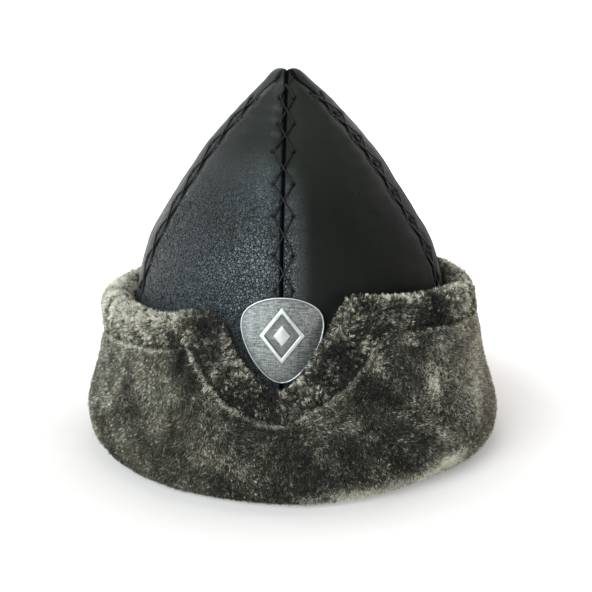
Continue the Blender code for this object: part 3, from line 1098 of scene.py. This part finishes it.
def pewterMaterial():
    made, tree, shader, place = newMaterial("darkened_pewter", {"Metallic": 1.0})
    strokes = []
    for scale in badge["brushed"]:
        stretched = makeNode(tree, "ShaderNodeMapping", {"Vector": place, "Scale": scale}).outputs["Vector"]
        strokes.append(makeNoise(tree, stretched, 1.0, 3.0, 0.65)["Fac"])
    brushed = makeMath(tree, "MULTIPLY_ADD", strokes[0], 0.6, makeMath(tree, "MULTIPLY", strokes[1], 0.4))
    clouds = cloudsOn(tree, place, 70.0, 2.2)
    raised = ownValue(tree, "raised")
    # darker round the lozenge, on both sides of its frame, and inside the rim
    parts = makeNode(tree, "ShaderNodeSeparateXYZ", {"Vector": place}).outputs
    across = makeMath(tree, "MULTIPLY", makeMath(tree, "ABSOLUTE", parts["X"]), 1 / badge["frame"][0])
    level = makeMath(tree, "SUBTRACT", parts["Z"], badge["height"] + badge["motifUp"])
    upward = makeMath(tree, "MULTIPLY", makeMath(tree, "ABSOLUTE", level), 1 / badge["frame"][1])
    away = makeMath(tree, "ADD", across, upward)
    outside = makeRamp(tree, away, (0.99, 0.0), (1.03, 1.0), (1.16, 0.0))
    inside = makeRamp(tree, away, (0.42, 0.0), (0.72, 1.0), (0.80, 0.0))
    halo = makeMath(tree, "MULTIPLY", makeMath(tree, "ADD", outside, inside), 0.85)
    darkerRound = makeMath(tree, "MULTIPLY_ADD", ownValue(tree, "edgeNear"), 0.45, halo)
    grain = makeRamp(tree, brushed, (0.38, 0.0), (0.60, 1.0))
    ground = mixColours(tree, grain, *badge["lowTones"])
    shade = makeMath(tree, "MULTIPLY", clouds, 0.45)
    clouded = mixColours(tree, shade, ground, badge["clouded"])
    dirty = mixColours(tree, darkerRound, clouded, badge["darkerRound"])
    bright = mixColours(tree, clouds, *badge["highTones"])
    tree.links.new(mixColours(tree, raised, dirty, bright), shader.inputs["Base Color"])
    tree.links.new(makeMath(tree, "MULTIPLY_ADD", raised, -0.10, 0.50), shader.inputs["Roughness"])
    addBump(tree, shader, brushed, 0.3, 0.00015)
    return made


makeBadge(pewterMaterial())
print("badge made")


# Fur cuff

cuff = {
    "meanRadius": 113 * mm,
    "sink": 1.3 * mm,
    "innerDepth": 34 * mm,
    "lines": (
        # degrees from the front, top of the rim, hem line
        (-180.0, 97.5, 78.0), (-130.0, 91.5, 72.5), (-90.0, 87.0, 67.0), (-60.0, 91.5, 72.0),
        (-36.0, 93.4, 76.0), (-26.0, 98.4, 79.5), (-22.5, 98.2, 69.0), (-20.0, 96.0, 62.0),
        (-18.1, 92.3, 59.1), (-14.7, 81.4, 54.4), (-10.5, 71.9, 50.3), (-6.3, 64.4, 46.5),
        (-2.2, 59.4, 44.6), (1.2, 59.4, 43.4), (4.4, 64.0, 47.0), (6.7, 69.3, 50.2),
        (11.6, 82.1, 54.7), (18.3, 99.7, 62.2), (22.0, 107.4, 70.0), (26.5, 106.6, 84.0),
        (30.0, 105.9, 88.0), (37.0, 104.4, 87.5), (58.0, 101.6, 83.0), (90.0, 96.0, 76.5),
        (130.0, 95.5, 76.0), (180.0, 97.5, 78.0),
    ),
    "lightAndShadeMarks": (
        # degrees from the front, height, reach round, reach up, tone, sink; sizes in mm; a tone below 1
        # paints shade in pockets and between curls, above 1 paints light, as on the bottom edge lit from the
        # floor, and some paler tufts
        (-29.3, 73.0, 6.6, 13.0, 0.0, 3.6), (-32.2, 84.5, 3.6, 3.4, 0.20, 1.5),
        (-21.8, 91.5, 4.8, 5.6, 0.20, 1.0), (-20.4, 84.8, 3.8, 1.6, 7.0, 0.0),
        (-61.0, 89.0, 3.2, 3.0, 0.15, 1.5), (-49.0, 90.0, 3.2, 2.8, 0.15, 1.5),
        (-40.5, 88.0, 3.2, 2.8, 0.15, 1.5), (-34.5, 90.0, 2.8, 2.6, 0.20, 1.2),
        (-66.0, 82.0, 2.8, 8.0, 0.30, 1.2), (-54.0, 84.0, 2.8, 2.4, 0.30, 0.8),
        (-24.8, 62.0, 7.0, 12.0, 0.42, 0.0), (-9.0, 42.0, 8.0, 12.0, 0.60, 0.0),
        (-33.0, 42.0, 6.0, 14.0, 1.35, 0.0), (-17.0, 31.0, 5.0, 6.0, 1.35, 0.0),
        (-2.0, 52.0, 2.6, 8.0, 0.30, 1.0), (1.2, 56.0, 1.5, 6.0, 3.0, 0.0),
        (24.0, 88.0, 9.0, 7.0, 0.40, 0.0), (50.0, 92.0, 7.0, 8.0, 0.50, 0.6),
        (38.0, 86.5, 13.0, 1.8, 0.25, 1.0), (39.0, 91.0, 8.0, 1.8, 2.2, 0.0),
        (29.0, 55.6, 10.0, 6.0, 0.45, 0.0), (36.0, 38.0, 12.0, 11.0, 0.55, 0.0),
        (5.0, 18.0, 15.0, 9.0, 0.75, 0.0), (8.9, 46.3, 9.0, 8.0, 1.7, 0.0),
        (18.0, 47.6, 4.0, 8.0, 1.8, 0.0), (26.5, 71.7, 4.0, 7.0, 3.0, 0.0),
        (35.8, 81.5, 6.0, 2.6, 3.4, 0.0), (44.4, 58.0, 4.4, 10.0, 4.0, 0.0),
        (46.0, 49.5, 3.0, 5.0, 2.2, 0.0), (64.0, 55.0, 16.0, 18.0, 1.5, 0.0),
        (16.0, 5.0, 19.0, 4.4, 9.0, 0.0), (34.0, 6.5, 19.0, 5.2, 10.0, 0.0),
        (48.0, 9.5, 12.0, 5.0, 7.0, 0.0), (74.0, 84.0, 2.5, 4.0, 0.40, 1.2),
        (-24.0, 4.0, 70.0, 13.0, 0.62, 0.0),
        # places where only the outline goes out or in
        (-88.0, 88.0, 42.0, 8.0, 1.0, -3.4), (-90.0, 70.0, 34.0, 10.0, 1.0, 1.6),
        (92.0, 84.0, 36.0, 9.0, 1.0, 2.2), (60.0, 8.0, 55.0, 13.0, 1.0, 2.4),
        (-72.0, 8.0, 40.0, 12.0, 1.0, 2.0),
    ),
}
fur = {
    "backingTones": ((0.003, 0.003, 0.0025), (0.058, 0.054, 0.034)),
    # dark roots: the fur's own dark base, and painted shade deep in the pile
    "root": (0.006, 0.006, 0.0045),
    "mid": (0.064, 0.0545, 0.0292),
    "pale": (0.78, 0.745, 0.63),
    "strays": 0.05,  # share of the strands that stand out
    "frontExtra": 0.35,  # how much denser the front half is
    "bandThinning": 0.75,  # how much thinner the pile is among the tufts
    "swirlSize": 34 * mm,
    "swirl": 0.7,
    # degrees from the front, tone of the pile, of the band above the hem, contrast of patches, rim; the tones
    # paint light, paler at the sides and on the lit left
    "roundLight": (
        (-180, 1.1, 1.1, 0.6, 2.4), (-100, 1.4, 1.9, 0.8, 3.6), (-60, 1.04, 2.8, 0.95, 4.8),
        (-36, 0.90, 2.25, 1.0, 4.6), (-28, 0.84, 1.85, 1.05, 3.6), (-24.5, 0.81, 0.66, 1.0, 2.4),
        (-20, 0.74, 0.40, 1.3, 2.2), (-10, 0.55, 0.33, 1.6, 1.9), (0, 0.36, 0.33, 1.5, 1.5),
        (10, 0.47, 0.34, 1.6, 1.1), (20, 0.48, 0.31, 1.7, 1.0), (35, 0.51, 0.31, 1.7, 1.1),
        (48, 0.80, 0.40, 1.6, 1.1),
        (65, 1.7, 1.2, 0.9, 1.6), (100, 1.6, 1.4, 0.6, 2.4), (180, 1.1, 1.1, 0.6, 2.4),
    ),
    "kinds": {
        "pile": {
            "seed": 5,
            "strands": 470000,
            "clumps": 42000,
            "length": 2.7 * mm,
            "width": 0.29 * mm,
            "droop": 0.5,
            "unruly": 0.22,
            "lean": (50, 7),  # degrees from upright, and their spread
            "toneRange": 0.28,
            "pull": 0.12,  # how far the tips gather in a clump
            "leastContrast": 0.7,
            "sectors": (("front", -62, 62), ("right", 62, 152), ("back", 152, 208), ("left", 208, 298)),
        },
        "tufts": {
            "seed": 6,
            "strands": 250000,
            "clumps": 16000,
            "length": 3.3 * mm,
            "width": 0.34 * mm,
            "droop": 0.2,
            "unruly": 0.5,
            "lean": (32, 12),
            "toneRange": 0.6,
            "pull": 0.5,
            "leastContrast": 0.95,
            "sectors": (("front", -80, 80), ("back", 80, 280)),
        },
    },
}
perDegree = cuff["meanRadius"] * math.pi / 180


def lineDistance(angles, heights, column):
    # distance on the unrolled cuff from each spot to one of its lines, positive above it
    table = np.array(cuff["lines"])
    x = angles * perDegree
    lineX, lineZ = table[:, 0] * perDegree, table[:, column] * mm
    best = np.full(len(x), 1.0)
    for i in range(len(table) - 1):
        stepX, stepZ = lineX[i + 1] - lineX[i], lineZ[i + 1] - lineZ[i]
        share = ((x - lineX[i]) * stepX + (heights - lineZ[i]) * stepZ) / (stepX ** 2 + stepZ ** 2)
        share = np.clip(share, 0, 1)
        best = np.minimum(best, np.hypot(x - lineX[i] - stepX * share, heights - lineZ[i] - stepZ * share))
    return best * np.sign(heights - np.interp(x, lineX, lineZ))


def cuffFields(points, normals):
    angles = np.degrees(np.arctan2(points[:, 0], -points[:, 1]))
    return {
        "angle": angles,
        "height": points[:, 2],
        "facing": np.sum(unit(points * (1.0, 1.0, 0.0)) * normals, axis=1),
        "belowRim": -lineDistance(angles, points[:, 2], 1),
        "aboveHem": lineDistance(angles, points[:, 2], 2),
    }


def markAmounts(fields):
    tone = np.ones(len(fields["angle"]))
    sink = np.zeros(len(fields["angle"]))
    for angle, height, wide, tall, factor, deep in cuff["lightAndShadeMarks"]:
        offset = (fields["angle"] - angle + 180) % 360 - 180
        away = (offset * perDegree / (wide * mm)) ** 2 + ((fields["height"] - height * mm) / (tall * mm)) ** 2
        amount = np.exp(-away)
        tone *= 1 + (factor - 1) * amount
        sink += deep * mm * amount
    return tone, sink


def furBacking(surface):
    backing = creasedCopy("fur_cuff", "fur_backing", 1, sharpAbove=62.0)
    mesh = backing.data
    points, normals = vertexValues(mesh, "co"), vertexValues(mesh, "normal")
    fields = cuffFields(points, normals)
    markedLight, sink = markAmounts(fields)
    furry = smoothStep(-0.35, 0.15, fields["facing"])
    furry = furry + smoothStep(20 * mm, 8 * mm, np.abs(fields["belowRim"]))
    furry = np.clip(furry, 0, 1) * smoothStep(0.0, 4 * mm, points[:, 2] + 1.6 * mm)
    move = normals * (-cuff["sink"] * furry)[:, None]
    move -= normals * (sink * furry)[:, None]
    # the foot stays flat on the floor
    move[:, 2] = np.where(points[:, 2] < 0.3 * mm, 0.0, move[:, 2])
    mesh.vertices.foreach_set("co", (points + move).astype(np.float32).ravel())
    mesh.update()
    # the backing's colour follows the fur's painted light and shade
    pointValues(mesh, "furLightAndShade", np.minimum(paintedLightAndTone(points, fields) * markedLight, 3.0))
    mesh.shade_smooth()
    mesh.materials.clear()
    mesh.materials.append(surface)
    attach(backing, "root")
    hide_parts("fur_cuff")
    return backing


def scattered(points, corners, weights, count, rng):
    # seeded places spread over a mesh's triangles, as three corners and their shares
    a, b, c = (points[corners[:, i]] for i in range(3))
    areas = np.linalg.norm(np.cross(b - a, c - a), axis=1) / 2 * weights
    total = np.cumsum(areas)
    picks = np.searchsorted(total, rng.uniform(0, total[-1], count))
    u, v = rng.uniform(size=count), rng.uniform(size=count)
    over = u + v > 1
    u, v = np.where(over, 1 - u, u), np.where(over, 1 - v, v)
    return corners[picks], np.stack([1 - u - v, u, v], axis=1)


def shared(values, corners, shares):
    if values.ndim == 1:
        return np.sum(values[corners] * shares, axis=1)
    return np.sum(values[corners] * shares[:, :, None], axis=1)


def strandMesh(name, vertices, colours, surface):
    # one triangle for each three vertices, and no strand goes into the floor
    vertices[:, 2] = np.maximum(vertices[:, 2], 0.05 * mm)
    count = len(vertices) // 3
    mesh = bpy.data.meshes.new(name)
    mesh.vertices.add(len(vertices))
    mesh.vertices.foreach_set("co", vertices.astype(np.float32).ravel())
    mesh.loops.add(len(vertices))
    mesh.loops.foreach_set("vertex_index", np.arange(len(vertices), dtype=np.int32))
    mesh.polygons.add(count)
    mesh.polygons.foreach_set("loop_start", np.arange(0, len(vertices), 3, dtype=np.int32))
    mesh.polygons.foreach_set("loop_total", np.full(count, 3, np.int32))
    mesh.update(calc_edges=True)
    kept = mesh.color_attributes.new("furColour", "FLOAT_COLOR", "POINT")
    solid = np.concatenate([colours, np.ones((len(colours), 1))], axis=1)
    kept.data.foreach_set("color", solid.astype(np.float32).ravel())
    mesh.materials.append(surface)
    piece = placed(name, mesh)
    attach(piece, "root")
    print(name, count, "triangles")


def growFur(backing, kind):
    # roots, tips and clumps of one kind of strand, as arrays
    own = fur["kinds"][kind]
    count, clumps = own["strands"], own["clumps"]
    rng = np.random.default_rng(own["seed"])
    mesh = backing.data
    mesh.calc_loop_triangles()
    corners = np.zeros(len(mesh.loop_triangles) * 3, np.int32)
    mesh.loop_triangles.foreach_get("vertices", corners)
    corners = corners.reshape(-1, 3)
    points, normals = vertexValues(mesh, "co"), vertexValues(mesh, "normal")
    fields = cuffFields(points, normals)
    furry = smoothStep(-0.25, 0.05, fields["facing"])
    furry = np.maximum(furry, smoothStep(cuff["innerDepth"], 12 * mm, np.abs(fields["belowRim"])))
    furry *= (points[:, 2] > 0.6 * mm)
    # tufts stand above the hem and inside, and the pile is thin there
    band = smoothStep(-1.5 * mm, 1.5 * mm, fields["aboveHem"])
    band = np.maximum(band, smoothStep(0.1, -0.2, fields["facing"]))
    wanted = furry * (band if kind == "tufts" else 1 - fur["bandThinning"] * band)
    front = 1 + fur["frontExtra"] * smoothStep(100, 70, np.abs(fields["angle"]))
    weights = (wanted * front)[corners].mean(axis=1)
    place, shares = scattered(points, corners, weights, count, rng)
    roots = shared(points, place, shares)
    outward = unit(shared(normals, place, shares))

    heartPlace, heartShares = scattered(points, corners, weights, clumps, rng)
    hearts = shared(points, heartPlace, heartShares)
    heartNormals = unit(shared(normals, heartPlace, heartShares))
    tree = pointTree(hearts)
    clump = np.array([tree.find(root)[1] for root in roots])

    down = np.array([0.0, 0.0, -1.0])
    swirl = np.stack([waves(hearts, fur["swirlSize"], own["seed"] + k, 5) for k in range(3)], axis=1)
    comb = down * own["droop"] + swirl * fur["swirl"] + rng.normal(size=(clumps, 3)) * own["unruly"]
    comb -= heartNormals * np.sum(comb * heartNormals, axis=1)[:, None]
    comb = unit(comb)
    lean = np.radians(rng.normal(*own["lean"], clumps))
    clumpWay = unit(heartNormals * np.cos(lean)[:, None] + comb * np.sin(lean)[:, None])
    clumpLength = rng.uniform(0.8, 1.15, clumps)
    clumpTone = np.exp(rng.normal(0, own["toneRange"], clumps))

    length = own["length"] * clumpLength[clump] * rng.uniform(0.72, 1.12, count)
    way = unit(clumpWay[clump] + (outward - heartNormals[clump]) + rng.normal(size=(count, 3)) * 0.30)
    goal = hearts[clump] + clumpWay[clump] * length[:, None] * 1.05
    tips = roots + way * length[:, None]
    tips = tips * (1 - own["pull"]) + goal * own["pull"]
    # a few stand out and soften the outline
    stray = rng.uniform(size=count) < fur["strays"]
    standing = unit(outward + rng.normal(size=(count, 3)) * 0.45)
    way = np.where(stray[:, None], standing, unit(tips - roots))
    length = length * np.where(stray, rng.uniform(0.8, 1.25, count), 1.0)
    tips = roots + way * length[:, None]
    tips[:, 2] = np.maximum(tips[:, 2], rng.uniform(0.3, 1.2, count) * mm)
    return {
        "rng": rng, "roots": roots, "tips": tips, "outward": outward, "length": length,
        "at": cuffFields(roots, outward), "clumpTone": clumpTone[clump],
        "thin": np.where(stray, 0.55, 1.0),
    }


def roundValue(angles, column):
    table = np.array(fur["roundLight"])
    return np.interp(angles, table[:, 0], table[:, column])


def paintedLightAndTone(points, at):
    # painted light and shade on the fur, times random patches: paler at the sides, along the rim, at the
    # notch's front edge and on the hem's ridge, darker in the groove above the hem
    pileLight, bandLight, contrast, rimHighlight = (roundValue(at["angle"], column) for column in (1, 2, 3, 4))
    band = smoothStep(-0.5 * mm, 1.5 * mm, at["aboveHem"])
    patches = 0.40 * waves(points, 46 * mm, 21) + 0.36 * waves(points, 15 * mm, 22)
    patches = np.exp((patches + 0.24 * waves(points, 7 * mm, 23)) * contrast * (0.5 + 0.5 * band))
    outside = smoothStep(-0.5, 0.0, at["facing"])
    notch = smoothStep(32, 22, np.abs(at["angle"]))
    rimReach = (1.7 + 1.0 * rimHighlight) * mm
    rim = bell(np.maximum(at["belowRim"], 0) / rimReach) * outside * (1 - notch)
    # in the notch only its front edge gets the painted rim light
    fronted = 0.2 + 0.8 * smoothStep(0.15, 0.6, at["facing"])
    rim += 2.4 * notch * fronted * bell((at["belowRim"] - 0.4 * mm) / (1.5 * mm))
    # painted highlight on the hem's ridge, painted shade in the groove above it
    ridgeHighlight = bell((at["aboveHem"] + 1.2 * mm) / (1.1 * mm))
    grooveShade = bell((at["aboveHem"] - 1.6 * mm) / (1.3 * mm))
    tone = pileLight * (1 - band) + bandLight * band
    tone = tone * (1 - 0.75 * grooveShade) + rimHighlight * rim + rimHighlight * (0.5 + 1.2 * notch) * ridgeHighlight
    return tone * patches


def strandColours(grown, leastContrast):
    rng = grown["rng"]
    count = len(grown["roots"])
    contrast = np.maximum(roundValue(grown["at"]["angle"], 3), leastContrast)
    # painted light and shade, times random tone of clump and strand
    tone = paintedLightAndTone(grown["roots"], grown["at"]) * markAmounts(grown["at"])[0]
    tone *= grown["clumpTone"] ** contrast * np.exp(rng.normal(0, 0.45, count) * contrast)
    paleness = np.clip(0.15 * tone ** 1.7 * rng.uniform(0.2, 1.6, count), 0, 1)[:, None]
    mid, pale, root = (np.array(fur[key]) for key in ("mid", "pale", "root"))
    tipColour = mid * np.minimum(tone, 2.2)[:, None] * (1 - paleness) + pale * paleness
    warm = 1 + rng.normal(0, 0.04, (count, 1)) * np.array([[1.0, 0.2, -0.8]])
    tipColour = np.clip(tipColour * warm, 0.003, 0.8)
    # dark roots: the fur's own dark base, and painted shade deep in the pile
    rootColour = root + tipColour * (0.08 + 0.30 * paleness)
    return rootColour, tipColour


def furPieces(backing, kind, surface):
    # one sliver a strand, thin at its root and tip, widest and bowed out past its middle
    own = fur["kinds"][kind]
    grown = growFur(backing, kind)
    rng, roots, tips = grown["rng"], grown["roots"], grown["tips"]
    way = unit(tips - roots)
    side = unit(np.cross(way, grown["outward"]))
    other = np.cross(way, side)
    roll = rng.normal(0, 0.6, len(way))
    side = side * np.cos(roll)[:, None] + other * np.sin(roll)[:, None]
    side = side * (own["width"] / 2 * grown["thin"] * rng.uniform(0.75, 1.25, len(way)))[:, None]
    rootColour, tipColour = strandColours(grown, own["leastContrast"])
    bow = grown["outward"] * (grown["length"] * 0.10)[:, None]
    waist = roots * 0.40 + tips * 0.60 + bow + side * 2
    vertices = np.stack([roots, waist, tips], axis=1)
    colours = np.stack([rootColour, rootColour * 0.25 + tipColour * 0.75, tipColour], axis=1)
    for label, low, high in own["sectors"]:
        chosen = ((grown["at"]["angle"] - low) % 360) < (high - low)
        name = "fur_" + kind + "_" + label
        strandMesh(name, vertices[chosen].reshape(-1, 3), colours[chosen].reshape(-1, 3), surface)


def furMaterial():
    made, tree, shader, place = newMaterial("frosted_fur", {
        "Roughness": 0.65, "Specular IOR Level": 0.25, "Sheen Weight": 0.15, "Sheen Roughness": 0.5,
    })
    clouds = cloudsOn(tree, place, 70.0, 1.5)
    shade = makeMath(tree, "MULTIPLY_ADD", clouds, 0.5, 0.75)
    gray = makeNode(tree, "ShaderNodeCombineColor", {0: shade, 1: shade, 2: shade}).outputs[0]
    tone = mixColours(tree, 1.0, ownValue(tree, "furColour", "Color"), gray, blend="MULTIPLY")
    tree.links.new(tone, shader.inputs["Base Color"])
    # thin strands let light through
    through = makeNode(tree, "ShaderNodeBsdfTranslucent", {"Color": tone})
    both = makeNode(tree, "ShaderNodeMixShader", {
        0: 0.35, 1: shader.outputs["BSDF"], 2: through.outputs["BSDF"],
    })
    tree.links.new(both.outputs["Shader"], tree.nodes["Material Output"].inputs["Surface"])
    return made


def backingMaterial():
    made, tree, shader, place = newMaterial("fur_roots", {"Roughness": 0.95, "Specular IOR Level": 0.1})
    clouds = cloudsOn(tree, place, 500.0, 2.0)
    uneven = makeMath(tree, "MULTIPLY_ADD", clouds, 0.5, 0.2)
    # painted light and shade: the backing follows the fur's
    strength = makeMath(tree, "MULTIPLY", ownValue(tree, "furLightAndShade"), uneven)
    colour = mixColours(tree, strength, *fur["backingTones"])
    tree.links.new(colour, shader.inputs["Base Color"])
    addBump(tree, shader, clouds, 0.8, 0.0006)
    return made


backing = furBacking(backingMaterial())
frosted = furMaterial()
for kind in fur["kinds"]:
    furPieces(backing, kind, frosted)
print("fur made")


# Floor and light

studio = {
    "floorHalf": 400.0,
    "white": (1.0, 1.0, 1.0),
    "floorColour": (0.54, 0.505, 0.485),
    "floorGlow": ((0.32, 0.25), (0.42, 0.36), (0.80, 0.95)),
    "skyBack": ((0.55, 0.02), (0.97, 1.0)),
    "skyLeft": ((0.25, 0.02), (0.97, (0.38, 0.42, 0.43))),
    "skyStrength": 1.15,
    "aim": (0.0, 0.0, 0.1),
    "lights": (
        # name, place, size, power, colour
        ("key", (-0.9, -1.6, 0.95), 1.7, 74.0, (0.87, 0.97, 1.0)),
        ("fill", (0.0, 0.35, 2.0), 1.0, 9.0, (1.0, 1.0, 1.0)),
        ("back", (1.2, 1.4, 0.9), 1.2, 14.0, (1.0, 1.0, 1.0)),
        ("side", (1.0, -1.2, 0.25), 0.5, 9.0, (1.0, 1.0, 1.0)),
    ),
}


def softLight(name, place, size, power, colour):
    lamp = bpy.data.lights.new(name, "AREA")
    lamp.color = colour
    lamp.shape = "DISK"
    lamp.size = size
    lamp.energy = power
    made = placed(name, lamp)
    made.location = place
    made.rotation_euler = (Vector(place) - Vector(studio["aim"])).to_track_quat("Z", "Y").to_euler()


def paleFloor():
    bm = bmesh.new()
    bmesh.ops.create_grid(bm, x_segments=1, y_segments=1, size=studio["floorHalf"])
    floor = linkedObject("floor", bm)
    made, tree, shader, place = newMaterial("pale_floor", {
        "Base Color": (*studio["floorColour"], 1.0), "Roughness": 0.9, "Specular IOR Level": 0.0,
        "Emission Strength": 1.0,
    })
    # glows less near the hat: a painted shadow round its foot, deepening its own soft shadow
    away = makeNode(tree, "ShaderNodeVectorMath", {0: place}, operation="LENGTH").outputs["Value"]
    glow = makeRamp(tree, makeMath(tree, "MULTIPLY", away, 2.5), *studio["floorGlow"])
    tree.links.new(glow, shader.inputs["Emission Color"])
    floor.data.materials.append(made)


def surroundings():
    # bright behind and to the left, darker in front on the right
    world = bpy.data.worlds.new("surroundings")
    bpy.context.scene.world = world
    world.use_nodes = True
    tree = world.node_tree
    way = makeNode(tree, "ShaderNodeTexCoord").outputs["Generated"]
    parts = makeNode(tree, "ShaderNodeSeparateXYZ", {"Vector": way}).outputs
    backward = makeMath(tree, "MULTIPLY_ADD", parts["Y"], 0.5, 0.5)
    leftward = makeMath(tree, "MULTIPLY_ADD", parts["X"], -0.5, 0.5)
    back = makeRamp(tree, backward, *studio["skyBack"])
    left = makeRamp(tree, leftward, *studio["skyLeft"])
    both = mixColours(tree, 1.0, back, left, blend="ADD")
    # shown plain white, so that no horizon stands behind the hat
    shown = makeNode(tree, "ShaderNodeLightPath").outputs["Is Camera Ray"]
    background = tree.nodes["Background"]
    tree.links.new(mixColours(tree, shown, both, studio["white"]), background.inputs["Color"])
    background.inputs["Strength"].default_value = studio["skyStrength"]


for light in studio["lights"]:
    softLight(*light)
paleFloor()
surroundings()
bpy.context.scene.view_settings.view_transform = "Standard"
print("studio made")
